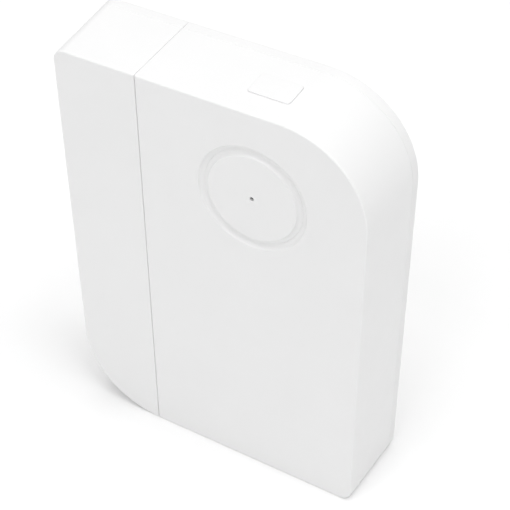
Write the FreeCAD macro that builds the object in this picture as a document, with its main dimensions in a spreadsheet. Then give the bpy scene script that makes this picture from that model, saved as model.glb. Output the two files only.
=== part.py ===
import FreeCAD, Part
import math
import os
import Sketcher
from FreeCAD import Placement, Rotation, Vector

# Wireless door contact sensor: a wide sensor unit and a narrow magnet unit side by side, with one
# slim seam between them.  +X runs from the magnet unit to the sensor unit, +Z is up, and the fronts
# face -Y.  The origin is the middle of the footprint, on the surface the pair stands on.

os.makedirs("parts", exist_ok=True)
doc = FreeCAD.newDocument("DoorContactSensor")
sheet = doc.addObject("Spreadsheet::Sheet", "Dims")

DRIVING = {
    # the pair as one slab
    "frontWidth": 50.5, "frontHeight": 70.0, "depth": 14.5, "draft": 0.8,
    "bigCorner": 13.9, "smallCorner": 2.1, "edgeRound": 0.25,
    "seamPlace": -11.35, "seamGap": 0.04, "seamRound": 0.15, "footCut": 0.02,
    # moulded shells
    "baseThick": 1.8, "frontThick": 1.5, "wallThick": 1.3, "rimClear": 0.15, "rimTall": 1.6,
    "rimThick": 0.9, "padDeep": 0.5, "wallHole": 1.75,
    # round button and its groove
    "buttonX": 7.28, "buttonZ": 55.6, "discRad": 7.12, "grooveRad": 8.77, "grooveDeep": 0.5,
    "buttonGap": 0.02, "flangeRad": 9.3, "flangeThick": 0.8, "buttonTravel": 0.4,
    "pinholeRad": 0.32, "pipeRad": 0.95, "restGap": 0.05, "faceSkin": 1.2, "hollowRad": 6.5,
    "noseRad": 1.5, "socketWall": 0.8, "socketTall": 1.2, "pipeSunk": 0.45, "pipeStart": 0.9,
    "pipeTail": 3.0,
    # lugs that keep the button in, and the post over the tamper switch; a join's bite into its wall
    "lugWide": 3.0, "lugThick": 1.1, "lugClear": 0.25, "lipThick": 0.5, "lipReach": 0.4,
    "lipDeep": 1.0, "lipGap": 0.1, "postRad": 1.1, "postEnd": 3.05, "bite": 0.2,
    # release tab in the top wall
    "tabX": 7.45, "tabPlace": -0.9, "tabWidth": 6.6, "tabDeep": 4.4, "tabProud": 0.2,
    "tabGap": 0.02, "tabTall": 2.2, "tabLedge": 0.7, "tabBottom": 2.4,
    "armWide": 3.2, "armLow": 66.6, "armHigh": 68.2, "armShort": 1.9,
    # circuit board
    "boardFront": 0.6, "boardThick": 1.0, "boardLow": 7.6, "boardHigh": 62.4,
    "boardLeft": -9.6, "boardRight": 23.0, "screwRad": 0.95,
    "screwHead": 1.9, "headTall": 1.1, "screwReach": 3.0, "crossLong": 1.1, "crossWide": 0.18,
    "crossDeep": 0.5, "bossRad": 2.1, "pegRad": 0.9, "shelfRad": 1.6, "pegTall": 1.3,
    # coin cell and its cup
    "cellRad": 12.25, "cellThick": 5.0, "cellX": 7.28, "cellZ": 22.0,
    "cupClear": 0.15, "cupWall": 1.0, "cupTall": 3.6, "cupFloor": 0.5, "cupWindow": 7.0,
    "notchHalf": 5.0, "slotHalf": 3.2, "capInset": 1.1, "capTall": 0.5,
    # reed switch beside the seam
    "reedX": -7.9, "reedY": -1.2, "reedZ": 42.0, "reedRad": 1.1, "reedLong": 14.0,
    "leadRad": 0.28, "leadSpan": 19.0, "glassWall": 0.3, "glassEnd": 2.0, "sealDeep": 1.0,
    "bladeHalf": 0.45, "bladeNear": 0.04, "bladeFar": 0.2, "bladeTip": 0.9, "leadTail": 0.7,
    # bar magnet
    "magnetWide": 4.0, "magnetDeep": 5.0, "magnetLong": 28.0, "magnetX": -15.95, "magnetZ": 42.0,
    "cradleFloor": 3.0, "cradleTall": 6.0, "cradleWall": 0.9, "cradleClear": 0.05,
    "foamHalf": 1.7, "foamReach": 10.0,
    # fixing holes through the two bases
    "sensorHoleX": -4.0, "sensorHoleLow": 4.8, "sensorHoleHigh": 65.2,
    "magnetHoleX": -19.0, "magnetHoleLow": 21.0, "magnetHoleHigh": 63.0,
}

for row, (alias, size) in enumerate(DRIVING.items(), start=1):
    sheet.set(f"A{row}", alias)
    sheet.set(f"B{row}", str(size))
    sheet.setAlias(f"B{row}", alias)
doc.recompute()

# derived places, as expressions on the sheet
FRONT = "(-Dims.depth / 2)"
BACK = "(Dims.depth / 2)"
SPLIT = "(Dims.depth / 2 - Dims.baseThick)"            # parting plane of cover and base
INSIDE = "(-Dims.depth / 2 + Dims.frontThick)"         # inner face of the front wall
BOARD_BACK = "(Dims.boardFront + Dims.boardThick)"
HALF_ROUND = "(1 - sqrt(0.5))"
SENSOR_LEFT = "(Dims.seamPlace + Dims.seamGap / 2)"
MAGNET_RIGHT = "(Dims.seamPlace - Dims.seamGap / 2)"
FLANGE_FRONT = f"({INSIDE} + Dims.restGap)"
FLANGE_BACK = f"({FLANGE_FRONT} + Dims.flangeThick)"

nodes = {}


def number(expression):
    """The present value of an expression on the sheet."""
    found = sheet.evalExpression(expression)
    return float(getattr(found, "Value", found))


def bind(thing, **places):
    """Bind properties to expressions; a double underscore in a name stands for a dot."""
    for name, expression in places.items():
        thing.setExpression(name.replace("__", "."), str(expression))
    return thing


def node(name, thing):
    """Name a finished sub-part; its label is its file's name."""
    thing.Label = name
    nodes[name] = thing
    return thing


def flare(depth):
    """How far the outer walls have spread at a depth, from nothing at the front to the full draft."""
    return f"(Dims.draft * ({depth} - {FRONT}) / Dims.depth)"


# ---------------------------------------------------------------- sketch and feature helpers

def new_body(name):
    return doc.addObject("PartDesign::Body", name)


def new_sketch(body, name, depth):
    """An empty sketch parallel to the XZ plane at a depth; its normal points to -Y."""
    sketch = body.newObject("Sketcher::SketchObject", name)
    plane = [f for f in body.Origin.OriginFeatures if f.Role == "XZ_Plane"][0]
    sketch.AttachmentSupport = [(plane, "")]
    sketch.MapMode = "FlatFace"
    sketch.setExpression("AttachmentOffset.Base.z", f"-({depth})")
    return sketch


def dimension(sketch, name, constraint, expression):
    index = sketch.addConstraint(constraint)
    sketch.renameConstraint(index, name)
    sketch.setExpression(f"Constraints.{name}", expression)


def outline(body, name, depth, left, right, low, high, corners, round_foot=False):
    """A rectangle with its own radius at each corner, or none.

    corners holds low_right, high_right, high_left and low_left.  With round_foot the low_left arc
    takes the whole bottom, so there is no flat below it.
    """
    sketch = new_sketch(body, name, depth)
    x0, x1, z0, z1 = number(left), number(right), number(low), number(high)
    radii = [number(c) if c else 0.0 for c in corners]
    if round_foot:
        radii[3] = x1 - x0
    centres = [
        (x1 - radii[0], z0 + radii[0]), (x1 - radii[1], z1 - radii[1]),
        (x0 + radii[2], z1 - radii[2]), (x0 + radii[3], z0 + radii[3]),
    ]
    ends = [
        ((x0 + radii[3], z0), (x1 - radii[0], z0)), ((x1, z0 + radii[0]), (x1, z1 - radii[1])),
        ((x1 - radii[1], z1), (x0 + radii[2], z1)), ((x0, z1 - radii[2]), (x0, z0 + radii[3])),
    ]
    sides = {}
    for side, (start, end) in enumerate(ends):
        if side == 0 and round_foot:
            continue
        line = Part.LineSegment(Vector(*start, 0), Vector(*end, 0))
        sides[side] = sketch.addGeometry(line, False)
    if not round_foot:
        sketch.addConstraint(Sketcher.Constraint("Horizontal", sides[0]))
    sketch.addConstraint(Sketcher.Constraint("Vertical", sides[1]))
    sketch.addConstraint(Sketcher.Constraint("Horizontal", sides[2]))
    sketch.addConstraint(Sketcher.Constraint("Vertical", sides[3]))
    for corner, radius in enumerate(radii):
        before, after = sides.get(corner), sides.get((corner + 1) % 4)
        if not radius:
            if before is not None:
                sketch.addConstraint(Sketcher.Constraint("Coincident", before, 2, after, 1))
            continue
        circle = Part.Circle(Vector(*centres[corner], 0), Vector(0, 0, 1), radius)
        start = (corner - 1) * math.pi / 2
        arc = sketch.addGeometry(Part.ArcOfCircle(circle, start, start + math.pi / 2), False)
        sketch.addConstraint(Sketcher.Constraint("Tangent", before, 2, arc, 1))
        if after is not None:
            sketch.addConstraint(Sketcher.Constraint("Tangent", arc, 2, after, 1))
        else:
            sketch.addConstraint(Sketcher.Constraint("Coincident", arc, 2, sides[1], 1))
            sketch.addConstraint(Sketcher.Constraint("Vertical", arc, 3, sides[1], 1))
        if after is not None:
            radius_rule = Sketcher.Constraint("Radius", arc, radius)
            dimension(sketch, f"corner{corner}", radius_rule, corners[corner])
    dimension(sketch, "left", Sketcher.Constraint("DistanceX", -1, 1, sides[3], 1, x0), left)
    dimension(sketch, "right", Sketcher.Constraint("DistanceX", -1, 1, sides[1], 1, x1), right)
    dimension(sketch, "low", Sketcher.Constraint("DistanceY", -1, 1, sides[1], 1, z0)
              if round_foot else Sketcher.Constraint("DistanceY", -1, 1, sides[0], 1, z0), low)
    dimension(sketch, "high", Sketcher.Constraint("DistanceY", -1, 1, sides[2], 1, z1), high)
    return sketch


def circles(body, name, depth, places):
    """Full circles at (x, z, radius)."""
    sketch = new_sketch(body, name, depth)
    for index, (x, z, radius) in enumerate(places):
        circle = Part.Circle(Vector(number(x), number(z), 0), Vector(0, 0, 1), number(radius))
        ring = sketch.addGeometry(circle, False)
        dimension(sketch, f"x{index}",
                  Sketcher.Constraint("DistanceX", -1, 1, ring, 3, number(x)), x)
        dimension(sketch, f"z{index}",
                  Sketcher.Constraint("DistanceY", -1, 1, ring, 3, number(z)), z)
        dimension(sketch, f"r{index}", Sketcher.Constraint("Radius", ring, number(radius)), radius)
    return sketch


def pad(body, sketch, length, towards_back=False):
    feature = body.newObject("PartDesign::Pad", f"{sketch.Name}Pad")
    feature.Profile = sketch
    feature.Reversed = towards_back
    return bind(feature, Length=length)


def pocket(body, sketch, length):
    """Cut from the sketch towards the back."""
    feature = body.newObject("PartDesign::Pocket", f"{sketch.Name}Cut")
    feature.Profile = sketch
    return bind(feature, Length=length)


def loft(body, kind, first, *others):
    """A ruled loft through sketches, front to back."""
    feature = body.newObject(f"PartDesign::{kind}", f"{first.Name}Loft")
    feature.Profile = first
    feature.Sections = list(others)
    feature.Ruled = True
    return feature


# ---------------------------------------------------------------- primitive helpers

def box(name, low, high):
    """A box from its low corner to its high corner, all six places expressions."""
    made = doc.addObject("Part::Box", name)
    for place, length, a, b in zip("xyz", ("Length", "Width", "Height"), low, high):
        made.setExpression(f"Placement.Base.{place}", str(a))
        made.setExpression(length, f"({b}) - ({a})")
    return made


def rod(name, x, z, radius, front, back):
    """A cylinder along Y from one depth to another."""
    made = doc.addObject("Part::Cylinder", name)
    made.Placement = Placement(Vector(), Rotation(Vector(1, 0, 0), -90))
    return bind(made, Placement__Base__x=x, Placement__Base__y=front, Placement__Base__z=z,
                Radius=radius, Height=f"({back}) - ({front})")


def post(name, x, y, radius, low, high):
    """A cylinder along Z."""
    made = doc.addObject("Part::Cylinder", name)
    return bind(made, Placement__Base__x=x, Placement__Base__y=y, Placement__Base__z=low,
                Radius=radius, Height=f"({high}) - ({low})")


def fuse(name, *things):
    made = doc.addObject("Part::MultiFuse", name)
    made.Shapes = list(things)
    made.Refine = True
    return made


def cut(name, base, tool):
    made = doc.addObject("Part::Cut", name)
    made.Base, made.Tool = base, tool
    return made


def group(name, *things):
    """Separate solids that are one node."""
    made = doc.addObject("Part::Compound", name)
    made.Links = list(things)
    return made


def groove_ring(name):
    """The torus that cuts the round groove: half in the cover's hole, half in the button's rim."""
    half = "((Dims.grooveRad - Dims.discRad) / 2)"
    bend = f"(({half} * {half} + Dims.grooveDeep * Dims.grooveDeep) / (2 * Dims.grooveDeep))"
    ring = doc.addObject("Part::Torus", name)
    ring.Placement = Placement(Vector(), Rotation(Vector(1, 0, 0), -90))
    return bind(ring, Radius1="(Dims.grooveRad + Dims.discRad) / 2", Radius2=bend,
                Placement__Base__x="Dims.buttonX", Placement__Base__z="Dims.buttonZ",
                Placement__Base__y=f"{FRONT} + Dims.grooveDeep - {bend}")


# ---------------------------------------------------------------- outer shells

def sensor_edges(depth, inset="0", at_seam=None):
    """Outline of the sensor unit at a depth, drawn in by an inset: square at the seam.

    The foot reaches a hair below the floor, and flatten_foot trims it to a true plane.
    """
    spread = f"({flare(depth)} - ({inset}))"
    return dict(
        left=f"{SENSOR_LEFT} + ({at_seam or inset})", right=f"Dims.frontWidth / 2 + {spread}",
        low=f"({inset}) - Dims.footCut", high=f"Dims.frontHeight + {spread}",
        corners=(f"max(Dims.smallCorner - ({inset}); 0.6)", f"Dims.bigCorner + {spread}",
                 None, None),
    )


def magnet_edges(depth, inset="0", at_seam=None):
    """Outline of the magnet unit at a depth: its big corner takes the whole foot."""
    spread = f"({flare(depth)} - ({inset}))"
    return dict(
        left=f"-Dims.frontWidth / 2 - {spread}", right=f"{MAGNET_RIGHT} - ({at_seam or inset})",
        low=f"({inset})", high=f"Dims.frontHeight + {spread}",
        corners=(None, None, f"max(Dims.smallCorner - ({inset}); 0.6)", None),
        round_foot=True,
    )


def hollow_cover(body, prefix, edges):
    """A drafted shell open at the parting plane, with its front edge eased in two small steps."""
    steps = []
    for name, drawn_in, behind in (("Face", "1", "0"), ("Ease", HALF_ROUND, HALF_ROUND),
                                   ("Wall", "0", "1")):
        depth = f"({FRONT} + {behind} * Dims.edgeRound)"
        steps.append(outline(body, f"{prefix}{name}", depth,
                             **edges(depth, f"{drawn_in} * Dims.edgeRound",
                                     f"{drawn_in} * Dims.seamRound")))
    steps.append(outline(body, f"{prefix}Rear", SPLIT, **edges(SPLIT)))
    loft(body, "AdditiveLoft", *steps)
    inner_front = outline(body, f"{prefix}InnerFront", INSIDE, **edges(INSIDE, "Dims.wallThick"))
    inner_back = outline(body, f"{prefix}InnerBack", SPLIT, **edges(SPLIT, "Dims.wallThick"))
    loft(body, "SubtractiveLoft", inner_front, inner_back)


def flatten_foot(body, prefix):
    """Trim what reaches below the floor, which leaves a plane for the unit to stand on."""
    trim = outline(body, f"{prefix}Trim", f"{FRONT} - 1", f"{SENSOR_LEFT} - 5",
                   "Dims.frontWidth / 2 + 5", "-5", "0", (None, None, None, None))
    pocket(body, trim, "Dims.depth + 2")


def plate_and_rim(body, prefix, edges, pad_box, holes):
    """A base: drafted plate, a rim inside the cover's walls, a pad recess and fixing holes."""
    plate_front = outline(body, f"{prefix}PlateFront", SPLIT, **edges(SPLIT))
    plate_back = outline(body, f"{prefix}PlateBack", BACK, **edges(BACK))
    loft(body, "AdditiveLoft", plate_front, plate_back)
    rim_inset = "(Dims.wallThick + Dims.rimClear)"
    top = f"({SPLIT} - Dims.rimTall)"
    pad(body, outline(body, f"{prefix}Rim", SPLIT, **edges(top, rim_inset)), "Dims.rimTall")
    well_inset = f"({rim_inset} + Dims.rimThick)"
    well = outline(body, f"{prefix}Well", top, **edges(top, well_inset))
    pocket(body, well, "Dims.rimTall")
    pad_left, pad_right, pad_low, pad_high = pad_box
    recess = outline(body, f"{prefix}Recess", f"{BACK} - Dims.padDeep", pad_left, pad_right,
                     pad_low, pad_high, ("1", "1", "1", "1"))
    pocket(body, recess, "Dims.padDeep + 1")
    fixing = circles(body, f"{prefix}Fixing", f"{SPLIT} - 1", holes)
    pocket(body, fixing, "Dims.baseThick + 2")


TAB_SLOPE = "atan(Dims.draft / Dims.depth)"             # tilt of the top wall, from the draft


def tab_block(name, grow, low, high):
    """A block centred on the tab's place, square to the drafted top wall.

    low and high are measured along the wall's normal, from its outer face.
    """
    made = doc.addObject("Part::Box", name)
    half_wide = f"(Dims.tabWidth / 2 + {grow})"
    half_deep = f"(Dims.tabDeep / 2 + {grow})"
    lean, rise = f"sin({TAB_SLOPE})", f"cos({TAB_SLOPE})"
    bind(made, Length=f"2 * {half_wide}", Width=f"2 * {half_deep}", Height=f"({high}) - ({low})",
         Placement__Base__x=f"Dims.tabX - {half_wide}",
         Placement__Base__y=f"Dims.tabPlace - {half_deep} * {rise} - ({low}) * {lean}",
         Placement__Base__z=f"Dims.frontHeight + {flare('Dims.tabPlace')} - {half_deep} * {lean}"
                            f" + ({low}) * {rise}")
    made.Placement.Rotation = Rotation(Vector(1, 0, 0), number(TAB_SLOPE))
    return made


def around_button(name, angle, reach, front, back, wide, deep):
    """A box that stands beside the button's flange at an angle, from reach outwards."""
    made = doc.addObject("Part::Box", name)
    turn = math.radians(angle)
    along, across = Vector(math.cos(turn), 0, math.sin(turn)), Vector(-math.sin(turn), 0,
                                                                      math.cos(turn))
    corner = along * number(reach) - across * (number(wide) / 2)
    bind(made, Length=deep, Width=f"({back}) - ({front})", Height=wide,
         Placement__Base__x=f"Dims.buttonX + {corner.x}",
         Placement__Base__y=front, Placement__Base__z=f"Dims.buttonZ + {corner.z}")
    made.Placement.Rotation = Rotation(Vector(0, 1, 0), -angle)
    return made


LUG_ANGLES = (30, 150, 270)
TAMPER_X, TAMPER_Z = "(-5.4)", "(55.0)"


def sensor_front_cover():
    body = new_body("SensorCoverShell")
    hollow_cover(body, "Cover", sensor_edges)
    flatten_foot(body, "Cover")
    hole = circles(body, "ButtonHole", f"{FRONT} - 1", [
        ("Dims.buttonX", "Dims.buttonZ", "(Dims.grooveRad + Dims.discRad) / 2 + Dims.buttonGap / 2")])
    pocket(body, hole, "Dims.frontThick + 2")
    lugs = []
    for angle in LUG_ANGLES:
        lip_front = f"{FLANGE_BACK} + Dims.buttonTravel + Dims.lipGap"
        lip_back = f"{lip_front} + Dims.lipThick"
        lugs.append(around_button(f"LugStem{angle}", angle, "Dims.flangeRad + Dims.lugClear",
                                  f"{INSIDE} - Dims.bite", lip_back, "Dims.lugWide",
                                  "Dims.lugThick"))
        lugs.append(around_button(f"LugLip{angle}", angle, "Dims.flangeRad - Dims.lipReach",
                                  lip_front, lip_back, "Dims.lugWide", "Dims.lipDeep"))
    push_post = rod("TamperPost", TAMPER_X, TAMPER_Z, "Dims.postRad", f"{INSIDE} - Dims.bite",
                    "Dims.boardFront - Dims.postEnd")
    solid = fuse("CoverWithLugs", body, push_post, *lugs)
    grooved = cut("CoverGrooved", solid, groove_ring("CoverGroove"))
    window = tab_block("TabWindow", "Dims.tabGap", "-3", "2")
    node("sensor_front_cover", cut("CoverWindowed", grooved, window))


def push_button():
    middle = "((Dims.grooveRad + Dims.discRad) / 2)"
    disc = rod("ButtonDisc", "Dims.buttonX", "Dims.buttonZ", f"{middle} - Dims.buttonGap / 2",
               FRONT, f"{FLANGE_FRONT} + Dims.bite")
    flange = rod("ButtonFlange", "Dims.buttonX", "Dims.buttonZ", "Dims.flangeRad",
                 FLANGE_FRONT, FLANGE_BACK)
    skin_back = f"{FRONT} + Dims.faceSkin"
    socket = rod("PipeSocket", "Dims.buttonX", "Dims.buttonZ", "Dims.pipeRad + Dims.socketWall",
                 f"{skin_back} - Dims.bite", f"{FLANGE_BACK} + Dims.socketTall")
    nose = rod("ButtonNose", "Dims.buttonX", f"Dims.buttonZ - {SWITCH_DROP}", "Dims.noseRad",
               f"{skin_back} - Dims.bite", f"{SWITCH_TIP} - {TOUCH_GAP}")
    hollow = rod("ButtonHollow", "Dims.buttonX", "Dims.buttonZ", "Dims.hollowRad", skin_back,
                 f"{FLANGE_BACK} + 1")
    dished = cut("ButtonDished", fuse("ButtonBlank", disc, flange), hollow)
    solid = fuse("ButtonSolid", dished, socket, nose)
    grooved = cut("ButtonGrooved", solid, groove_ring("ButtonGroove"))
    pinhole = rod("Pinhole", "Dims.buttonX", "Dims.buttonZ", "Dims.pinholeRad",
                  f"{FRONT} - 1", f"{FLANGE_BACK} + 2")
    bore = rod("PipeBore", "Dims.buttonX", "Dims.buttonZ", "Dims.pipeRad",
               f"{FRONT} + Dims.pipeStart", f"{FLANGE_BACK} + 2")
    node("push_button", cut("ButtonBored", grooved, fuse("ButtonBores", pinhole, bore)))


def light_pipe():
    """Clear rod behind the pinhole, pressed into the button's socket."""
    stem = rod("PipeStem", "Dims.buttonX", "Dims.buttonZ", "Dims.pipeRad",
               f"{FRONT} + Dims.pipeStart", f"{FLANGE_BACK} + Dims.pipeTail")
    tip = rod("PipeTip", "Dims.buttonX", "Dims.buttonZ", "Dims.pinholeRad",
              f"{FRONT} + Dims.pipeSunk", f"{FRONT} + Dims.pipeStart + Dims.bite")
    node("light_pipe", fuse("PipeSolid", stem, tip))


def release_tab():
    """The rectangular press tab in the top wall, with a flange below and a hook to the base."""
    head = tab_block("TabHead", "0", "-Dims.tabTall", "Dims.tabProud")
    flange = tab_block("TabFlange", "Dims.tabLedge", "-Dims.tabBottom",
                       "-(Dims.wallThick + Dims.restGap)")
    arm = box("TabArm", ("Dims.buttonX - Dims.armWide / 2", "0", "Dims.armLow"),
              ("Dims.buttonX + Dims.armWide / 2", f"{SPLIT} - Dims.armShort", "Dims.armHigh"))
    node("release_tab", fuse("TabSolid", head, flange, arm))


def sensor_rear_base():
    body = new_body("SensorBasePlate")
    plate_and_rim(body, "Base", sensor_edges, SENSOR_PAD, [
        ("Dims.sensorHoleX", "Dims.sensorHoleLow", "Dims.wallHole"),
        ("Dims.sensorHoleX", "Dims.sensorHoleHigh", "Dims.wallHole")])
    flatten_foot(body, "Base")
    bosses = circles(body, "BoardBosses", SPLIT,
                     [(x, z, "Dims.bossRad") for x, z in BOARD_SCREWS])
    pad(body, bosses, f"{SPLIT} - {BOARD_BACK}")
    pegs = circles(body, "BoardPegs", SPLIT, [(x, z, "Dims.pegRad") for x, z in BOARD_PEGS])
    pad(body, pegs, f"{SPLIT} - {BOARD_BACK} + Dims.pegTall")
    shelves = circles(body, "PegShelves", SPLIT,
                      [(x, z, "Dims.shelfRad") for x, z in BOARD_PEGS])
    pad(body, shelves, f"{SPLIT} - {BOARD_BACK}")
    pilots = circles(body, "ScrewPilots", f"{BOARD_BACK} - 0.5",
                     [(x, z, "Dims.screwRad") for x, z in BOARD_SCREWS])
    pocket(body, pilots, "Dims.screwReach + 0.6")
    node("sensor_rear_base", body)


def magnet_front_cover():
    body = new_body("MagnetCoverShell")
    hollow_cover(body, "MagnetShell", magnet_edges)
    node("magnet_front_cover", body)


def magnet_rear_base():
    body = new_body("MagnetBasePlate")
    plate_and_rim(body, "MagnetBase", magnet_edges, MAGNET_PAD, [
        ("Dims.magnetHoleX", "Dims.magnetHoleLow", "Dims.wallHole"),
        ("Dims.magnetHoleX", "Dims.magnetHoleHigh", "Dims.wallHole")])
    wall = "(Dims.magnetWide / 2 + Dims.cradleClear)"
    end = "(Dims.magnetLong / 2 + Dims.cradleClear)"
    side, cap = f"({wall} + Dims.cradleWall)", f"({end} + Dims.cradleWall)"
    cradle = outline(body, "Cradle", SPLIT, f"Dims.magnetX - {side}", f"Dims.magnetX + {side}",
                     f"Dims.magnetZ - {cap}", f"Dims.magnetZ + {cap}", ("0.5",) * 4)
    pad(body, cradle, "Dims.cradleTall")
    nest = outline(body, "CradleNest", f"{SPLIT} - Dims.cradleTall", f"Dims.magnetX - {wall}",
                   f"Dims.magnetX + {wall}", f"Dims.magnetZ - {end}", f"Dims.magnetZ + {end}",
                   (None, None, None, None))
    pocket(body, nest, "Dims.cradleTall - Dims.cradleFloor")
    node("magnet_rear_base", body)


# ---------------------------------------------------------------- magnet unit's inside

MAGNET_BACK = f"({SPLIT} - Dims.cradleFloor)"


def bar_magnet():
    magnet = box("MagnetBlock",
                 ("Dims.magnetX - Dims.magnetWide / 2", f"{MAGNET_BACK} - Dims.magnetDeep",
                  "Dims.magnetZ - Dims.magnetLong / 2"),
                 ("Dims.magnetX + Dims.magnetWide / 2", MAGNET_BACK,
                  "Dims.magnetZ + Dims.magnetLong / 2"))
    doc.recompute()
    eased = doc.addObject("Part::Chamfer", "MagnetEased")
    eased.Base = magnet
    eased.Edges = [(i + 1, 0.25, 0.25) for i in range(len(magnet.Shape.Edges))]
    node("bar_magnet", eased)


def magnet_foam():
    """Foam strip between the magnet and the cover, so that the magnet can't rattle."""
    strip = box("FoamStrip", ("Dims.magnetX - Dims.foamHalf", f"{INSIDE} + Dims.restGap",
                              "Dims.magnetZ - Dims.foamReach"),
                ("Dims.magnetX + Dims.foamHalf", f"{MAGNET_BACK} - Dims.magnetDeep",
                 "Dims.magnetZ + Dims.foamReach"))
    node("magnet_foam_strip", strip)


SENSOR_PAD = ("-6.5", "20.5", "12", "56")
MAGNET_PAD = ("-23", "-14", "27", "57")


def adhesive_pad(name, prefix, place):
    """Double-sided tape, flush in the recess of a base."""
    left, right, low, high = place
    body = new_body(prefix)
    face = outline(body, f"{prefix}Face", BACK, f"{left} + 0.1", f"{right} - 0.1",
                   f"{low} + 0.1", f"{high} - 0.1", ("0.9", "0.9", "0.9", "0.9"))
    pad(body, face, "Dims.padDeep")
    node(name, body)


# ---------------------------------------------------------------- circuit board and its parts

BOARD_SCREWS = (("(-7.0)", "(12.0)"), ("(20.2)", "(40.0)"))
BOARD_PEGS = (("(20.6)", "(10.6)"), ("(-7.0)", "(59.6)"))
SWITCH_DROP = "4.6"                                     # switch below the disc's centre
SWITCH_TIP = "(Dims.boardFront - 4.2)"
TOUCH_GAP = "0.02"                                      # between the button's nose and its switch


def circuit_board():
    body = new_body("BoardBlank")
    face = outline(body, "BoardFace", BOARD_BACK, "Dims.boardLeft", "Dims.boardRight",
                   "Dims.boardLow", "Dims.boardHigh", ("1.5", "9", "1", "1"))
    pad(body, face, "Dims.boardThick")
    lead_holes = [("Dims.reedX", f"Dims.reedZ {sign} Dims.leadSpan / 2", "Dims.leadRad + 0.07")
                  for sign in "+-"]
    holes = circles(body, "BoardHoles", "Dims.boardFront - 0.5",
                    [(x, z, "Dims.screwRad + 0.2") for x, z in BOARD_SCREWS]
                    + [(x, z, "Dims.pegRad + 0.08") for x, z in BOARD_PEGS] + lead_holes)
    pocket(body, holes, "Dims.boardThick + 1")
    node("circuit_board", body)


def board_screws():
    screws = []
    for index, (x, z) in enumerate(BOARD_SCREWS):
        front = "(Dims.boardFront - Dims.headTall)"
        head = rod(f"ScrewHead{index}", x, z, "Dims.screwHead", front, "Dims.boardFront")
        shank = rod(f"ScrewShank{index}", x, z, "Dims.screwRad", "Dims.boardFront - 0.1",
                    f"{BOARD_BACK} + Dims.screwReach")
        slot_a = box(f"SlotA{index}",
                     (f"{x} - Dims.crossLong", f"{front} - 0.2", f"{z} - Dims.crossWide"),
                     (f"{x} + Dims.crossLong", f"{front} + Dims.crossDeep", f"{z} + Dims.crossWide"))
        slot_b = box(f"SlotB{index}",
                     (f"{x} - Dims.crossWide", f"{front} - 0.2", f"{z} - Dims.crossLong"),
                     (f"{x} + Dims.crossWide", f"{front} + Dims.crossDeep", f"{z} + Dims.crossLong"))
        screws.append(cut(f"Screw{index}", fuse(f"ScrewBlank{index}", head, shank),
                          fuse(f"ScrewCross{index}", slot_a, slot_b)))
    node("board_screws", group("ScrewPair", *screws))


def reed_switch():
    """Glass tube with a sealed lead at each end, and the two blades that meet inside it."""
    half = "(Dims.reedLong / 2)"
    tube = post("GlassTube", "Dims.reedX", "Dims.reedY", "Dims.reedRad",
                f"Dims.reedZ - {half}", f"Dims.reedZ + {half}")
    cavity = post("GlassCavity", "Dims.reedX", "Dims.reedY", "Dims.reedRad - Dims.glassWall",
                  f"Dims.reedZ - {half} + Dims.glassEnd", f"Dims.reedZ + {half} - Dims.glassEnd")
    seal = post("GlassSeal", "Dims.reedX", "Dims.reedY", "Dims.leadRad",
                f"Dims.reedZ - {half} - Dims.sealDeep",
                f"Dims.reedZ + {half} + Dims.sealDeep")
    node("reed_glass", cut("Glass", tube, fuse("GlassHollow", cavity, seal)))
    leads = []
    for sign, name in ((1, "Upper"), (-1, "Lower")):
        foot = f"Dims.reedZ + {sign} * Dims.leadSpan / 2"
        root = f"Dims.reedZ + {sign} * ({half} - Dims.glassEnd)"
        inner = f"({root} - {sign} * 0.4)"               # where the lead flattens into its blade
        ends = (inner, foot) if sign > 0 else (foot, inner)
        straight = post(f"{name}Straight", "Dims.reedX", "Dims.reedY", "Dims.leadRad", *ends)
        leg = rod(f"{name}Leg", "Dims.reedX", foot, "Dims.leadRad", "Dims.reedY",
                  f"{BOARD_BACK} + Dims.leadTail")
        knee = doc.addObject("Part::Sphere", f"{name}Knee")
        bind(knee, Radius="Dims.leadRad", Placement__Base__x="Dims.reedX",
             Placement__Base__y="Dims.reedY", Placement__Base__z=foot)
        tip = f"Dims.reedZ - {sign} * Dims.bladeTip"
        heel = f"{inner} + {sign} * 0.3"
        low, high = (tip, heel) if sign > 0 else (heel, tip)
        flat = (("Dims.bladeNear", "Dims.bladeFar") if sign > 0
                else ("-Dims.bladeFar", "-Dims.bladeNear"))
        blade = box(f"{name}Blade",
                    ("Dims.reedX - Dims.bladeHalf", f"Dims.reedY + {flat[0]}", low),
                    ("Dims.reedX + Dims.bladeHalf", f"Dims.reedY + {flat[1]}", high))
        leads.append(fuse(f"{name}Lead", straight, leg, knee, blade))
    node("reed_leads", group("ReedLeads", *leads))


def coin_cell():
    """Steel can with the narrower negative cap on its rear face."""
    back = "(Dims.boardFront - Dims.cupFloor - 0.05)"
    can = rod("CellCan", "Dims.cellX", "Dims.cellZ", "Dims.cellRad",
              f"{back} - Dims.cellThick", f"{back} - Dims.capTall")
    cap = rod("CellCap", "Dims.cellX", "Dims.cellZ", "Dims.cellRad - Dims.capInset",
              f"{back} - Dims.capTall - 0.1", back)
    node("coin_cell", fuse("CellSolid", can, cap))


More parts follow.
